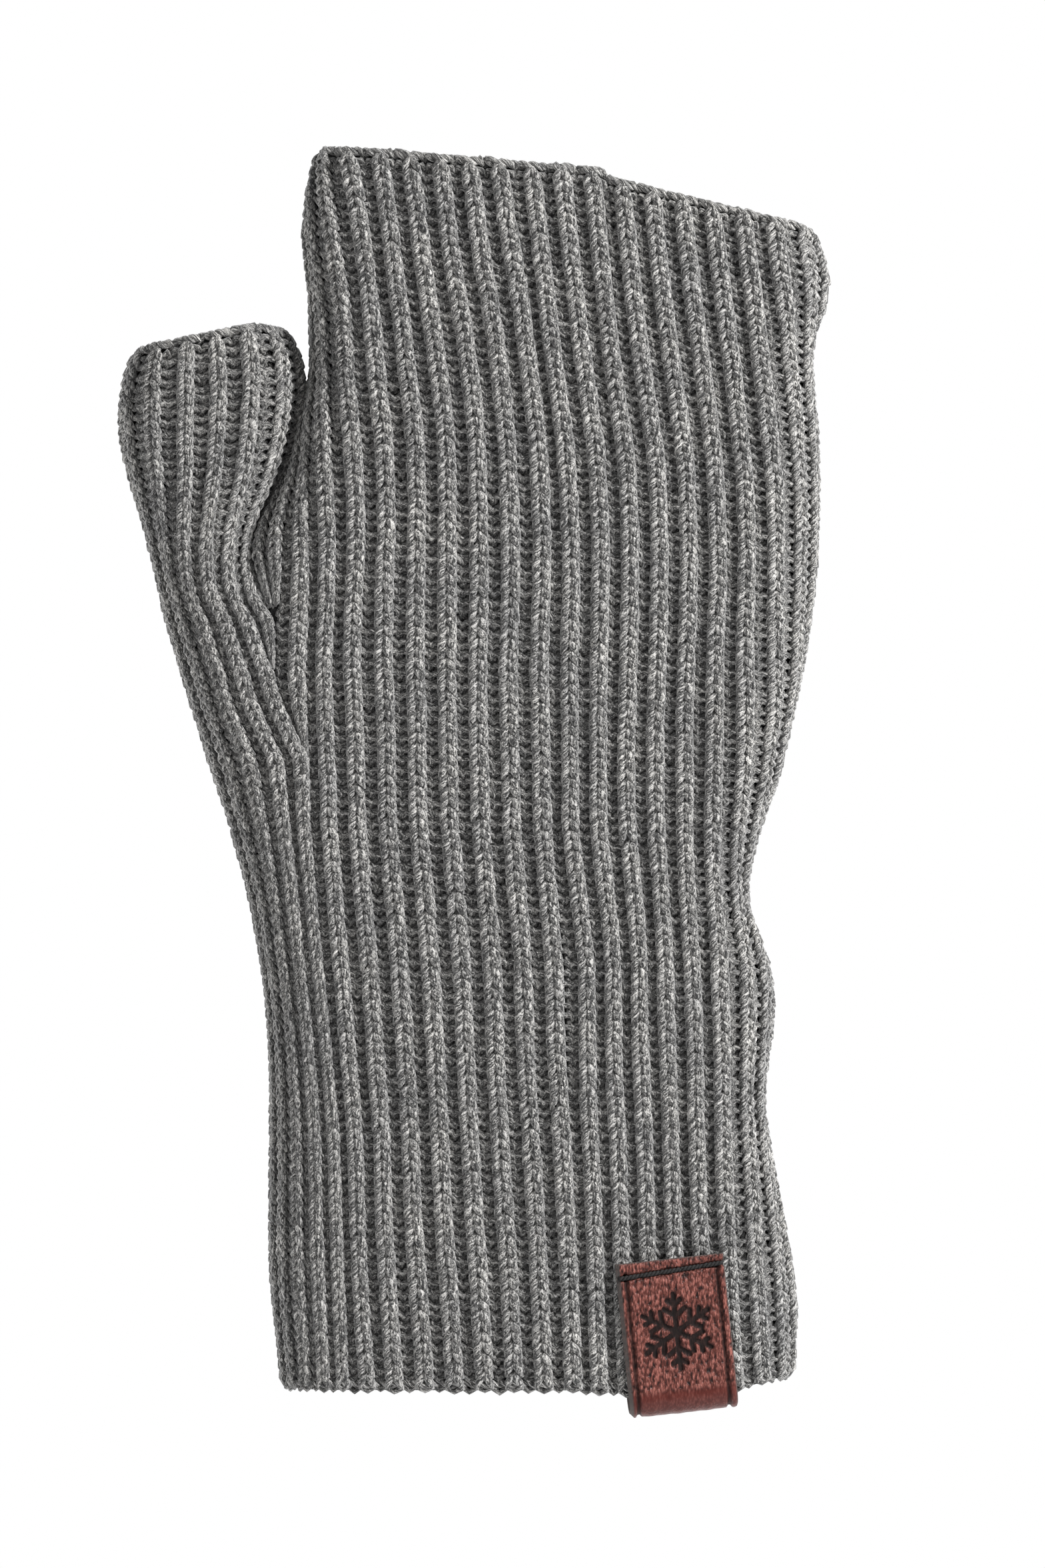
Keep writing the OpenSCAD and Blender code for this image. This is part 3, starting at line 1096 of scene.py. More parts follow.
class RibKnit:
    """Turns courses of a tube into strands of 1x1 rib, each stitch a little different from the next."""

    drift = 0.13
    drift_up = (0.06, 0.05)
    drift_across = (0.08, 0.09)
    waves = 6
    loose = 0.07
    slip = 0.035
    uneven_rise = 0.05
    uneven_out = 0.06
    uneven_yarn = 0.05
    full_wale = 2.5
    fibre_start = 400.0

    def __init__(self, knitter: Knitter, loop: Loop) -> None:
        """Keeps what every course needs.

        Args:
            knitter: Where wales and courses lie.
            loop: The stitch.
        """
        self.knitter = knitter
        self.loop = loop
        self.random = np.random.default_rng(SEED + 1)
        self.phases = np.random.default_rng(SEED + 2).uniform(0.0, TWO_PI, (self.waves, 3))[:, 0]

    def _drift(self, wale: np.ndarray, row: np.ndarray) -> np.ndarray:
        """Works out the slow unevenness of the wales.

        Args:
            wale: Places across, numbered round the whole glove.
            row: Heights, counted in courses.

        Returns:
            How far each place wanders, in wales.
        """
        total = np.zeros_like(wale)
        for k, phase in enumerate(self.phases):
            up = self.drift_up[0] + self.drift_up[1] * k
            across = self.drift_across[0] + self.drift_across[1] * k
            total += np.sin(row * up + wale * across + phase) / (1.5 + k)
        return total * self.drift

    def course(self, yarn: Yarn, tube: Tube, row: int, wales: np.ndarray, closed: bool) -> None:
        """Adds one course.

        Args:
            yarn: The piece it belongs to.
            tube: The tube it lies on.
            row: Its number.
            wales: The wales it runs through, in order.
            closed: Whether it runs right round.
        """
        line = tube.widths[row - tube.rows[0]]
        keep = wales[line[wales] > self.knitter.plan.least]
        across, height, stand, thick = (np.array(column)[None, :] for column in zip(*self.loop.keys))
        count = (len(keep), 1)
        rng, bump = self.random, self.loop.bump
        knit = (keep % 2 == 0)[:, None]
        loose = 1.0 + rng.normal(0.0, self.loose, count)
        slip = rng.normal(0.0, self.slip, count) * np.sin(across * math.pi)
        wale = keep[:, None] + 0.5 + (across - 0.5) * np.clip(loose, 0.86, 1.1) ** 0.5 + slip
        wale = np.where(across == 0.0, keep[:, None], wale)
        rise = height * loose + rng.normal(0.0, self.uneven_rise, count)
        narrow = np.clip(line[keep][:, None] / self.full_wale, 0.4, 1.0)
        out = np.where(knit, stand, bump - (1.0 + bump) * stand)
        out = out * narrow * (1.0 + rng.normal(0.0, self.uneven_out, count))
        number = tube.first_wale + wale + np.where(wale > tube.jump_at, tube.jump, 0.0)
        wale = wale + self._drift(number, np.full_like(wale, float(row)))
        plump = np.where(knit, thick, thick + self.loop.bump_thick * (1.0 - np.clip(stand, 0.0, 1.0)))
        radius = self.loop.yarn * plump * (1.0 + rng.normal(0.0, self.uneven_yarn, count))
        radius = radius * (0.5 + 0.5 * narrow)
        path, normal = tube.at(wale.ravel(), (row + rise).ravel(), out.ravel())
        start = float(rng.uniform(0.0, self.fibre_start))
        yarn.sweep(path, normal, closed, radius.ravel(), start, out.ravel())


# ---------------------------------------------------------------- the glove


@dataclass
class Glove:
    """The knitted part of the glove, from hem to finger and thumb edges, in bands of whole courses."""

    knitter: Knitter
    loop: Loop = field(default_factory=Loop)
    pieces: dict = field(default_factory=dict)
    tubes: dict = field(default_factory=dict)
    hem_row: int = 1
    cuff_rows: tuple = (19, 38)
    wrist_row: int = 50

    def _lay_out(self) -> None:
        """Sets out the three tubes and lets their wales run into each other at the split."""
        knitter, plan = self.knitter, self.knitter.plan
        split = knitter.split_row
        whole = knitter.tube("whole", -1, split + 2)
        hand = knitter.tube("hand", split - 2, knitter.body_rows + 2)
        thumb = knitter.tube("thumb", split - 2, knitter.thumb_rows + 2)
        thumb.first_wale = hand.jump_at = plan.thumb_start
        hand.jump = plan.thumb_end - plan.thumb_start
        self.tubes = {"whole": whole, "hand": hand, "thumb": thumb}
        samples = Tube.samples
        stall = np.arange(plan.thumb_start * samples, plan.thumb_end * samples + 1)
        knitter.ease(whole, thumb, stall, stall - stall[0])
        palm = np.arange(hand.places.shape[1])
        knitter.ease(whole, hand, palm + np.where(palm > stall[0], len(stall) - 1, 0), palm)

    def knit(self, wool: bpy.types.Material) -> None:
        """Knits every band.

        Args:
            wool: The yarn's finish.
        """
        self._lay_out()
        knitter, plan = self.knitter, self.knitter.plan
        whole, hand, thumb = self.tubes.values()
        split, part, top = knitter.split_row, knitter.part_row, knitter.body_rows
        middle = (split + top) // 2
        around = np.arange(2 * plan.whole)
        palm = np.concatenate([around[plan.thumb_end:], around[:plan.thumb_start]])
        gusset = around[plan.thumb_start:plan.thumb_end]
        fingers, stall = np.arange(hand.widths.shape[1]), np.arange(thumb.widths.shape[1])
        bands = {
            "cuff_rib_low": [(whole, self.hem_row, self.cuff_rows[0], around, True)],
            "cuff_rib_high": [(whole, *self.cuff_rows, around, True)],
            "wrist_rib_low": [(whole, self.cuff_rows[1], self.wrist_row, around, True)],
            "wrist_rib_high": [(whole, self.wrist_row, part, around, True)],
            "palm_rib": [(whole, part, split, palm, False)],
            "hand_rib_low": [(hand, split, middle, fingers, True)],
            "hand_rib_high": [(hand, middle, top, fingers, True)],
            "thumb_rib": [(whole, part, split, gusset, False),
                          (thumb, split, knitter.thumb_rows, stall, True)],
        }
        rib = RibKnit(knitter, self.loop)
        for name, stretches in bands.items():
            yarn = Yarn(name, self.loop)
            for tube, low, high, wales, closed in stretches:
                for row in range(low, high):
                    rib.course(yarn, tube, row, wales, closed)
            self.pieces[name] = piece = yarn.build()
            dress(piece, wool)
            log.info("%s: %d faces", name, len(piece.data.polygons))


class Slab:
    """A closed sheet made from a grid of places and outward normals."""

    face_share = 0.49
    rim_share = 0.002

    def __init__(self, places: np.ndarray, normals: np.ndarray, inner: float, outer: float) -> None:
        """Keeps the grid.

        Args:
            places: Points, by row and column.
            normals: Outward directions, in the same order.
            inner: Distance of the inner face along the normals.
            outer: Distance of the outer face along the normals.
        """
        self.inner = places + normals * inner
        self.outer = places + normals * outer

    def build(self, name: str, flip: bool = False) -> bpy.types.Object:
        """Makes the piece.

        Args:
            name: Its name.
            flip: Whether rows and columns turn the other way round.

        Returns:
            The piece, with a plain layout of its two faces side by side.
        """
        rows, columns = self.outer.shape[:2]
        size = rows * columns
        points = np.concatenate([self.outer.reshape(-1, 3), self.inner.reshape(-1, 3)])
        index = np.arange(size).reshape(rows, columns)
        a, b, c, d = index[:-1, :-1], index[:-1, 1:], index[1:, 1:], index[1:, :-1]
        front = np.stack([a, b, c, d], -1).reshape(-1, 4)
        back = np.stack([a, d, c, b], -1).reshape(-1, 4) + size
        rim = np.concatenate([index[0, :], index[1:, -1], index[-1, -2::-1], index[-2:0:-1, 0]])
        after = np.roll(rim, -1)
        wall = np.stack([rim, rim + size, after + size, after], -1)
        quads = np.concatenate([front, back, wall])
        if flip:
            quads = quads[:, ::-1]
        piece = mesh_object(name, points, quads)
        u = np.broadcast_to(np.linspace(0.0, 1.0, columns)[None, :], (rows, columns)).ravel()
        v = np.broadcast_to(np.linspace(0.0, 1.0, rows)[:, None], (rows, columns)).ravel()
        share = self.face_share
        flat = np.concatenate([np.stack([u * share, v], 1), np.stack([1.0 - share + u * share, v], 1)])
        layer = piece.data.uv_layers.new(name="OFBake")
        corner = flat[quads.ravel()].copy()
        wall_at = len(front) + len(back)
        walls = corner[wall_at * 4:].reshape(-1, 4, 2)
        across = self.rim_share * np.array([0.0, 1.0, 1.0, 0.0])
        walls[:, :, 0] = np.clip(walls[:, :1, 0] + across, 0.0, 1.0)
        corner[wall_at * 4:] = walls.reshape(-1, 2)
        layer.data.foreach_set("uv", corner.astype(np.float32).ravel())
        return piece


@dataclass
class KnitBase:
    """A near-black ground under the knit, which closes the rib between its wales and paints the shade
    there.
    """

    knitter: Knitter
    tubes: dict
    inner: float = -0.80
    outer: float = -0.45
    step: int = 2

    def _grid(self, spans: list) -> tuple[np.ndarray, np.ndarray]:
        """Joins parts of several tubes into one grid.

        Args:
            spans: Tube, first row, last row, and the first and last wale, counted round past the end.

        Returns:
            Places and normals.
        """
        places, normals = [], []
        for tube, low, high, first, last in spans:
            around = tube.widths.shape[1] * Tube.samples
            columns = np.mod(np.arange(first * Tube.samples, last * Tube.samples + 1, self.step), around)
            rows = np.arange(low, high) - tube.rows[0]
            places.append(tube.places[rows][:, columns])
            normals.append(tube.normals[rows][:, columns])
        return np.concatenate(places), np.concatenate(normals)

    def build(self, finish: bpy.types.Material) -> dict:
        """Makes the three parts of the ground.

        Args:
            finish: Their finish.

        Returns:
            The pieces by name.
        """
        knitter, plan = self.knitter, self.knitter.plan
        split, part = knitter.split_row, knitter.part_row
        whole, hand, thumb = self.tubes.values()
        start, end, around = plan.thumb_start, plan.thumb_end, 2 * plan.whole
        spans = {
            "cuff_ground": [(whole, 0, part + 1, 0, around)],
            "hand_ground": [(whole, part, split, end, around + start),
                            (hand, split, knitter.body_rows + 1, start, hand.widths.shape[1] + start)],
            "thumb_ground": [(whole, part, split, start, end),
                             (thumb, split, knitter.thumb_rows + 1, 0, thumb.widths.shape[1])],
        }
        pieces = {}
        for name, parts in spans.items():
            piece = Slab(*self._grid(parts), self.inner, self.outer).build(name, flip=True)
            dress(piece, finish)
            pieces[name] = piece
        return pieces


@dataclass
class Edging:
    """The cast-on and cast-off edges: two plies of yarn laid along the rib's last course."""

    knitter: Knitter
    tubes: dict
    ply: float = 0.46
    lay: float = 0.40
    swing: float = 0.50
    steps: int = 10
    full_wale: float = 2.4
    turn_length: float = 2.9
    fibre_step: float = 37.0

    def build(self, name: str, tube: str, row: float, finish: bpy.types.Material) -> bpy.types.Object:
        """Makes one edge.

        Args:
            name: The piece's name.
            tube: Which tube it closes.
            row: Its height in courses.
            finish: Its finish.

        Returns:
            The piece.
        """
        grid = self.tubes[tube]
        wales = grid.widths.shape[1]
        steps = wales * self.steps
        wale = np.arange(steps) / steps * wales
        line = grid.widths[int(round(row)) - grid.rows[0]]
        fullness = np.clip(line / self.full_wale, 0.1, 1.0)
        narrow = np.interp(wale, np.arange(wales) + 0.5, fullness, period=wales)
        turns = int(round(line.sum() / self.turn_length))
        phase = wale / wales * TWO_PI * turns
        wave = self.swing * np.sin(np.pi * wale) * narrow
        yarn = Yarn(name, Loop(yarn=self.ply))
        for k in range(2):
            turn = phase + math.pi * k
            rows = row + np.sin(turn) * self.lay / self.knitter.plan.course
            path, normal = grid.at(wale, rows, wave + np.cos(turn) * self.lay)
            yarn.sweep(path, normal, True, np.full(steps, self.ply), self.fibre_step * k)
        piece = yarn.build()
        dress(piece, finish)
        return piece


@dataclass
class CrotchStitches:
    """Four overcast stitches that hold the crotch between thumb and hand."""

    x: float
    z: float
    depth: float = 12.0
    count: int = 4
    swing: float = 1.3
    rise: float = 0.7
    ply: float = 0.5
    steps: int = 14
    fibre_start: float = 11.0

    def build(self, finish: bpy.types.Material) -> bpy.types.Object:
        """Makes the stitches as one wandering strand.

        Args:
            finish: Its finish.

        Returns:
            The piece.
        """
        t = np.linspace(0.0, 1.0, self.count * self.steps)
        turn = t * self.count * TWO_PI
        path = np.stack([self.x + self.swing * np.sin(turn), -self.depth / 2 + self.depth * t,
                         self.z + self.rise * np.cos(turn)], 1)
        up = np.tile([0.0, 0.0, 1.0], (len(t), 1))
        yarn = Yarn("crotch_yarn", Loop(yarn=self.ply))
        yarn.sweep(path, up, False, np.full(len(t), self.ply), self.fibre_start)
        piece = yarn.build()
        dress(piece, finish)
        return piece


@dataclass
class LeatherTag:
    """The leather strip folded round the hem: outer leaf, fold and inner leaf, with its two seams."""

    centre: tuple = (25.0, -8.8, 0.0)
    lean: float = 6.0
    turn: float = 4.0
    width: float = 18.8
    outer_leaf: float = 23.0
    inner_leaf: float = 17.0
    thickness: float = 1.7
    gap: float = 1.5
    under: float = 0.6
    cell: float = 0.17
    # pressed line along each side, with a low rim beside it
    groove_in: float = 1.5
    groove_wide: float = 0.55
    groove_deep: float = 0.42
    rim_out: float = 0.75
    rim_wide: float = 0.3
    rim_high: float = 0.07
    # rounded cut edges, and the skived left edge
    round_wide: float = 0.5
    skive: float = 0.75
    bare_edge: tuple = (0.05, 0.25)
    bare_left: tuple = (0.55, 0.75)
    # where the polished fold starts and stops, from the end of the outer leaf
    polish_start: tuple = (-1.6, -0.2)
    polish_end: tuple = (8.5, 10.5)
    # swell and unevenness of the faces
    pillow: float = 0.12
    ripple: float = 0.05
    # seam over each leaf's end
    seam_down: float = 2.1
    seam_tilt: float = 0.05
    channel: tuple = (0.40, 0.75)
    channel_deep: float = 0.55
    thread: float = 0.25
    thread_lay: float = 0.18
    thread_sunk: float = 0.30
    thread_dive: float = 0.45
    thread_in: float = 0.35
    thread_turns: float = 2.6
    stitches: int = 5
    # pressed snow crystal
    mark_size: float = 6.5
    mark_up: float = 12.6
    mark_deep: float = 0.38
    mark_edge: tuple = (0.36, 0.60)
    twig_angle: float = 55.0
    twigs: tuple = ((0.42, 2.2), (0.72, 1.4))

    @property
    def radius(self) -> float:
        """Radius of the fold, at the middle of the leather."""
        return self.gap + self.thickness / 2.0

    @property
    def length(self) -> float:
        """Length of the strip before it was folded, along its middle."""
        return self.outer_leaf + self.inner_leaf + 2.0 * self.under + math.pi * self.radius

    def _mark(self, u: np.ndarray, v: np.ndarray) -> np.ndarray:
        """Depth of the stamped mark, a plain six-armed snow crystal.

        Args:
            u: Place across the leaf.
            v: Place up the leaf from the mark's middle.

        Returns:
            Depth from 0 to 1.
        """
        twig = math.radians(self.twig_angle)
        nearest = np.full(np.broadcast(u, v).shape, np.inf)
        for arm in range(6):
            a = math.radians(60.0 * arm + 30.0)
            along = u * math.cos(a) + v * math.sin(a)
            off = np.abs(-u * math.sin(a) + v * math.cos(a))
            spoke = np.hypot(np.maximum(along - self.mark_size, 0.0) + np.maximum(-along, 0.0), off)
            nearest = np.minimum(nearest, spoke)
            for start, reach in self.twigs:
                s = along - self.mark_size * start
                run = np.clip(s * math.cos(twig) + off * math.sin(twig), 0.0, reach)
                gap = np.hypot(s - run * math.cos(twig), off - run * math.sin(twig))
                nearest = np.minimum(nearest, gap)
        return 1.0 - smooth_step(*self.mark_edge, nearest)

    def _bend(self, u: np.ndarray, s: np.ndarray, out: np.ndarray) -> np.ndarray:
        """Folds the flat strip round the hem.

        Args:
            u: Place across.
            s: Place along the strip, from the top of the outer leaf.
            out: Height above the strip's middle.

        Returns:
            The points in the glove's frame.
        """
        leaf = self.outer_leaf + self.under
        angle = np.clip((s - leaf) / self.radius, 0.0, math.pi)
        y = -(self.radius + out) * np.cos(angle)
        z = -self.under - (self.radius + out) * np.sin(angle)
        z = z + np.maximum(leaf - s, 0.0) + np.maximum(s - leaf - math.pi * self.radius, 0.0)
        lean, turn = math.radians(self.lean), math.radians(self.turn)
        x, y = u * math.cos(turn) - y * math.sin(turn), u * math.sin(turn) + y * math.cos(turn)
        x, z = x * math.cos(lean) - z * math.sin(lean), x * math.sin(lean) + z * math.cos(lean)
        return np.stack([x + self.centre[0], y + self.centre[1], z + self.centre[2]], -1)

    def _grooves(self, u: np.ndarray, s: np.ndarray) -> tuple[np.ndarray, np.ndarray]:
        """Works out the pressed lines along both sides and the low rims beside them.

        Args:
            u: Place across.
            s: Place along the strip.

        Returns:
            How deep the lines are and how high the rims, both from 0 to 1.
        """
        line = self.width / 2.0 - self.groove_in
        groove = rim = 0.0
        for side in (-1, 1):
            off = np.abs(u - side * line)
            groove = groove + 1.0 - smooth_step(self.groove_wide * 0.3, self.groove_wide, off)
            rim = rim + np.exp(-((u - side * (line + self.rim_out)) / self.rim_wide) ** 2)
        for end in (s, self.length - s):
            groove = groove * smooth_step(self.seam_down - 0.9, self.seam_down - 0.3, end)
        return groove, rim

    def _seam_place(self, u: np.ndarray) -> np.ndarray:
        """How far down from a leaf's end its seam lies."""
        return self.seam_down - self.seam_tilt * u

    def leather(self, finish: bpy.types.Material) -> bpy.types.Object:
        """Makes the strip, with rolled grooves, rounded cut edges and the stamped mark.

        Args:
            finish: Its finish.

        Returns:
            The piece.
        """
        columns = int(self.width / self.cell) | 1
        rows = int(self.length / (self.cell * 1.3))
        u, s = np.meshgrid(np.linspace(-self.width / 2.0, self.width / 2.0, columns),
                           np.linspace(0.0, self.length, rows))
        from_left = u + self.width / 2.0
        edge = np.minimum(np.minimum(from_left, self.width / 2.0 - u), np.minimum(s, self.length - s))
        rounding = 1.0 - np.clip(edge / self.round_wide, 0.0, 1.0)
        round_off = self.round_wide * (1.0 - np.sqrt(1.0 - rounding ** 2 + TINY))
        bevel = self.skive * (1.0 - np.clip(from_left / self.skive, 0.0, 1.0))
        groove, rim = self._grooves(u, s)
        seam = self._seam_place(u)
        channel = sum(1.0 - smooth_step(*self.channel, np.abs(end - seam)) for end in (s, self.length - s))
        mark = self._mark(u, self.mark_up - s)
        pillow = self.pillow * np.cos(u / self.width * math.pi) * smooth_step(2.0, 6.0, s)
        wave = self.ripple * np.sin(u * 1.9 + 0.35 * s) * np.sin(s * 0.55 + 0.6 * u)
        out = (self.thickness / 2.0 - np.maximum(round_off, bevel) + pillow + wave + self.rim_high * rim
               - self.groove_deep * groove - self.channel_deep * channel - self.mark_deep * mark)
        inner_face = self._bend(u, s, round_off - self.thickness / 2.0)
        slab = Slab(inner_face, self._bend(u, s, out) - inner_face, 0.0, 1.0)
        piece = slab.build("tag_strip", flip=True)
        leaf = self.outer_leaf + self.under
        bare = 1.0 - np.minimum(smooth_step(*self.bare_edge, edge), smooth_step(*self.bare_left, from_left))
        folded = smooth_step(*self.polish_start, s - leaf) * (1.0 - smooth_step(*self.polish_end, s - leaf))
        pressed = np.clip(mark + 0.75 * groove + 0.5 * channel, 0.0, 1.0)
        for key, face, hidden in (("pressed", pressed, 0.0), ("bare", bare, 1.0), ("folded", folded, 0.0)):
            values = np.concatenate([face.ravel(), np.full(out.size, hidden)])
            layer = piece.data.attributes.new(key, "FLOAT", "POINT")
            layer.data.foreach_set("value", values.astype(np.float32))
        dress(piece, finish)
        return piece

    def seam(self, name: str, outer: bool, finish: bpy.types.Material) -> bpy.types.Object:
        """Makes one row of thread: long stitches of two plies that dive at their ends.

        Args:
            name: The piece's name.
            outer: Whether it lies on the outer leaf.
            finish: Its finish.

        Returns:
            The piece.
        """
        half = self.width / 2.0 - self.thread_in
        t = np.linspace(0.0, 1.0, 60 * self.stitches)
        u = -half + 2.0 * half * t
        down = self._seam_place(u)
        place = down if outer else self.length - down
        dive = np.abs(np.sin(t * self.stitches * math.pi)) ** 0.35
        top = self.thickness / 2.0 - self.thread_sunk - self.thread_dive * (1.0 - dive)
        yarn = Yarn(name, Loop(yarn=self.thread))
        for k in range(2):
            turn = t * self.stitches * self.thread_turns * TWO_PI + math.pi * k
            out = top + self.thread_lay * np.sin(turn)
            path = self._bend(u, place + self.thread_lay * np.cos(turn), out)
            face = self._bend(u, place, out + 1.0) - self._bend(u, place, out)
            yarn.sweep(path, face, False, np.full(len(t), self.thread), 5.0 * k)
        piece = yarn.build()
        dress(piece, finish)
        return piece


@dataclass
class CareLabel:
    """A folded satin label that hangs from its bar of thread inside the cuff."""

    low: Vector
    high: Vector
    columns: int = 49
    rows: int = 61
    half_thick: float = 0.22
    bow: float = 0.5
    wave: float = 0.15
    top_hem: float = 0.14
    foot_hem: float = 0.12
    selvedge: float = 0.05
    bar_turns: float = 18.0
    bar_steps: int = 20

    def ribbon(self, finish: bpy.types.Material) -> bpy.types.Object:
        """Makes the ribbon, a little bowed, with its sewn top hem and folded foot.

        Args:
            finish: Its finish.

        Returns:
            The piece.
        """
        low, high = np.array(self.low) / MM, np.array(self.high) / MM
        u, v = np.meshgrid(np.linspace(0.0, 1.0, self.columns), np.linspace(0.0, 1.0, self.rows))
        x = low[0] + (high[0] - low[0]) * u
        y = (low[1] + high[1]) / 2.0 - self.bow * np.sin(np.pi * u) * v ** 1.5
        y = y + self.wave * np.sin(7.0 * u + 3.0 * v) * v
        z = high[2] + (low[2] - high[2]) * v
        hem = self.top_hem * (1.0 - smooth_step(0.06, 0.09, v)) + self.foot_hem * smooth_step(0.93, 0.96, v)
        edge = self.selvedge * np.exp(-((np.minimum(u, 1.0 - u) - 0.02) / 0.012) ** 2)
        half = self.half_thick + hem + edge
        points = np.stack([x, y, z], -1)
        normal = np.zeros_like(points)
        normal[..., 1] = -1.0
        piece = Slab(points, normal * half[..., None], -1.0, 1.0).build("care_ribbon", flip=True)
        dress(piece, finish)
        return piece

    def bar(self, low: Vector, high: Vector, finish: bpy.types.Material) -> bpy.types.Object:
        """Makes the close zigzag of thread over the label's top.

        Args:
            low: Lowest corner of its place.
            high: Highest corner.
            finish: Its finish.

        Returns:
            The piece.
        """
        a, b = np.array(low) / MM, np.array(high) / MM
        t = np.linspace(0.0, 1.0, int(self.bar_turns * self.bar_steps) + 1)
        turn = t * self.bar_turns * TWO_PI
        radius = min(b[1] - a[1], b[2] - a[2]) * 0.22
        middle, reach = (a + b) / 2.0, b - a - 2.0 * radius
        path = np.stack([a[0] + radius + reach[0] * t, middle[1] + reach[1] / 2.0 * np.cos(turn),
                         middle[2] + reach[2] / 2.0 * np.sin(turn)], 1)
        yarn = Yarn("care_bar", Loop(yarn=radius))
        yarn.sweep(path, np.tile([0.0, 0.3, 1.0], (len(t), 1)), False, np.full(len(t), radius), 3.0)
        piece = yarn.build()
        dress(piece, finish)
        return piece


# ---------------------------------------------------------------- stage


class Lamp(Enum):
    """The lamps: where each stands, its side in metres and its power in watts."""

    KEY = ((0.76, -0.54, 0.66), 0.26, 23.8)
    FILL = ((-0.9, -0.7, 0.3), 0.9, 3.6)
    BACK = ((0.3, 0.9, 0.7), 0.6, 14.0)
    SIDE = ((-0.9, 0.5, 0.4), 0.7, 7.0)


@dataclass(frozen=True)
class Studio:
    """Camera, floor and lights."""

    distance: float = 1.15
    front: float = 0.011
    centre: tuple = (-0.0025, 0.1048)
    view_height: float = 0.2706
    sensor: float = 36.0
    clip_start: float = 0.05
    aim: tuple = (0.0, 0.0, 0.11)
    ambient: float = 0.30
    floor_size: float = 4.4
    floor_z: float = -0.35

    def build(self) -> None:
        """Makes the camera, the pale floor and the soft lights."""
        scene = bpy.context.scene
        camera = bpy.data.cameras.new("camera")
        camera.sensor_width = self.sensor
        camera.lens = self.sensor * (self.distance - self.front) / self.view_height
        camera.clip_start = self.clip_start
        holder = bpy.data.objects.new("camera", camera)
        holder.location = (self.centre[0], -self.distance, self.centre[1])
        holder.rotation_euler = (math.pi / 2, 0.0, 0.0)
        scene.collection.objects.link(holder)
        scene.camera = holder
        self._floor()
        self._world()
        for lamp in Lamp:
            self._area(lamp.name.lower(), *lamp.value)
        scene.view_settings.view_transform = "Standard"

    def _floor(self) -> None:
        """Makes the pale floor."""
        deselect_all()
        bpy.ops.mesh.primitive_plane_add(size=self.floor_size, location=(0.0, 0.0, self.floor_z))
        floor = bpy.context.object
        floor.name = "floor"
        paint = PlainFinish("floor_paint", (0.95, 0.95, 0.95), (0.98, 0.98, 0.98), 3.0, 0.9, 0.0)
        dress(floor, paint.build())

    def _world(self) -> None:
        """Makes the pale surroundings: white to the eye, and dimmer as a light."""
        world = bpy.data.worlds.new("studio")
        world.use_nodes = True
        tree = world.node_tree
        back = tree.nodes["Background"]
        back.inputs["Color"].default_value = (1.0, 1.0, 1.0, 1.0)
        seen = tree.nodes.new("ShaderNodeLightPath").outputs["Is Camera Ray"]
        level = tree.nodes.new("ShaderNodeMapRange")
        level.inputs["To Min"].default_value = self.ambient
        level.inputs["To Max"].default_value = 1.0
        tree.links.new(seen, level.inputs["Value"])
        tree.links.new(level.outputs["Result"], back.inputs["Strength"])
        bpy.context.scene.world = world

    def _area(self, name: str, place: tuple, size: float, power: float) -> None:
        """Adds one soft lamp aimed at the glove.

        Args:
            name: Its name.
            place: Where it stands.
            size: Its side, in metres.
            power: Its power in watts.
        """
        lamp = bpy.data.lights.new(name, "AREA")
        lamp.size = size
        lamp.energy = power
        holder = bpy.data.objects.new(name, lamp)
        holder.location = place
        aim = Vector(self.aim) - Vector(place)
        holder.rotation_euler = aim.to_track_quat("-Z", "Y").to_euler()
        bpy.context.scene.collection.objects.link(holder)


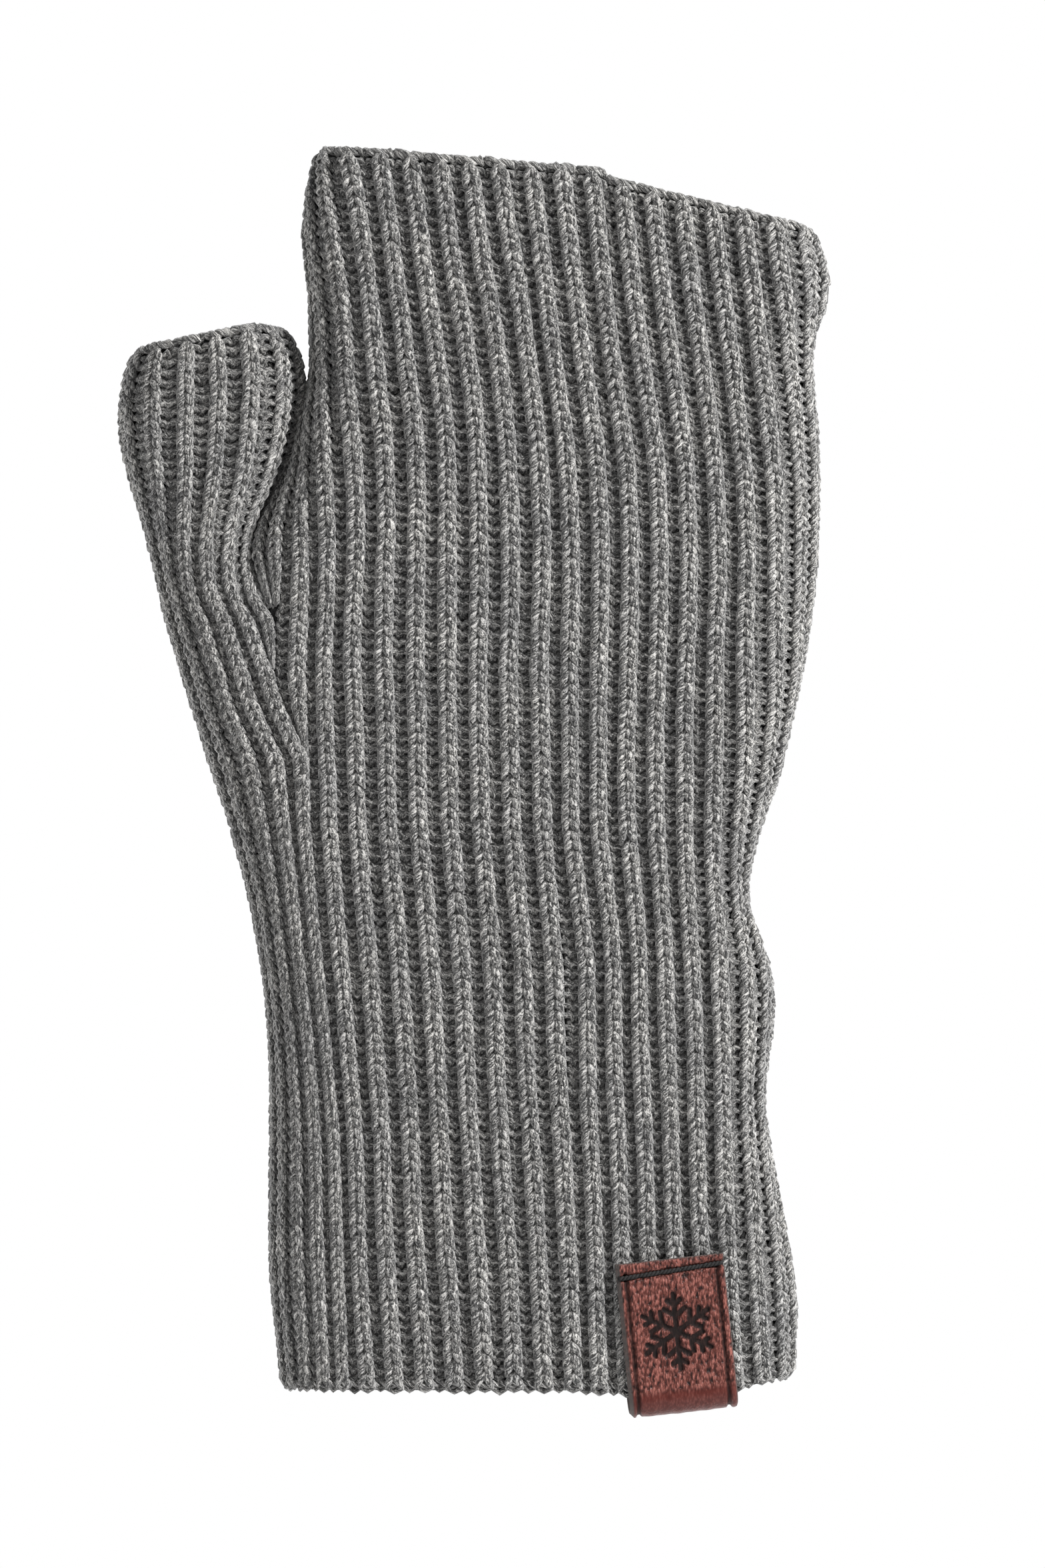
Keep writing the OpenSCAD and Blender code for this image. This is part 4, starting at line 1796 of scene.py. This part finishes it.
def main() -> None:
    """Builds the glove's looks round the frame."""
    logging.basicConfig(level=logging.INFO, format="%(message)s")
    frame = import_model()
    joints = {joint["name"]: joint for joint in frame["joints"]}
    wrist = Vector(joints["wrist_bend"]["pos_m"])
    Studio().build()
    wool = WoolFinish("wool_rib", Heather.RIB).build()
    edge_wool = WoolFinish("wool_edge", Heather.EDGE).build()
    # near-black finish that paints the shade in the depth of the rib
    shade_core = ShadeCoreFinish().build()
    leather = LeatherFinish().build()
    black_thread = PlainFinish("tag_thread", (0.002, 0.002, 0.002), (0.012, 0.011, 0.011), 3200.0,
                               0.9).build()
    satin = PlainFinish("label_satin", (0.62, 0.61, 0.58), (0.74, 0.73, 0.70), 900.0, 0.35).build()
    grey_thread = PlainFinish("label_thread", (0.18, 0.18, 0.18), (0.32, 0.32, 0.32), 2600.0, 0.7).build()

    form = Form(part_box("finger_edge")[1].z / MM, wrist.z / MM)
    knitter = Knitter(form, RibPlan())
    glove = Glove(knitter)
    glove.knit(wool)
    knit = glove.pieces
    # the ground under the knit carries the painted shade between the wales
    ground = KnitBase(knitter, glove.tubes).build(shade_core)
    edging = Edging(knitter, glove.tubes)
    hem = edging.build("hem_cord", "whole", HEM_ROW, edge_wool)
    finger = edging.build("finger_cord", "hand", knitter.body_rows - EDGE_SUNK, edge_wool)
    stall = edging.build("thumb_cord", "thumb", knitter.thumb_rows - EDGE_SUNK, edge_wool)
    crotch_mid = sum(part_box("crotch_stitches"), Vector()) / 2.0 / MM
    crotch = CrotchStitches(crotch_mid.x, crotch_mid.z).build(edge_wool)

    tag = LeatherTag()
    strip = tag.leather(leather)
    needle = tag.seam("tag_front_seam", True, black_thread)
    bobbin = tag.seam("tag_back_seam", False, black_thread)
    label = CareLabel(*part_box("care_label"))
    ribbon = label.ribbon(satin)
    bar = label.bar(*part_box("care_label_thread"), grey_thread)
    log.info("edges, crotch stitches, tag and label built")

    for piece in (knit["cuff_rib_low"], hem, strip, needle, bobbin, bar):
        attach(piece, "cuff")
    for piece in (knit["cuff_rib_high"], knit["wrist_rib_low"], knit["wrist_rib_high"],
                  ground["cuff_ground"]):
        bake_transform(piece)
    for piece in (knit["palm_rib"], knit["hand_rib_low"], knit["hand_rib_high"], ground["hand_ground"],
                  finger):
        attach(piece, "hand")
    for piece in (knit["thumb_rib"], ground["thumb_ground"], crotch):
        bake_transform(piece)
    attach(stall, "thumb")
    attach(ribbon, "label")

    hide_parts("cuff_knit", "wrist_knit")
    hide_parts("cuff_edge")
    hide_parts("hand_knit")
    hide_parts("finger_edge")
    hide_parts("thumb_knit")
    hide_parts("thumb_edge")
    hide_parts("crotch_stitches")
    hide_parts("tag_leather")
    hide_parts("tag_needle_thread")
    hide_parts("tag_bobbin_thread")
    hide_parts("care_label")
    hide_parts("care_label_thread")


if __name__ == "__main__":
    main()
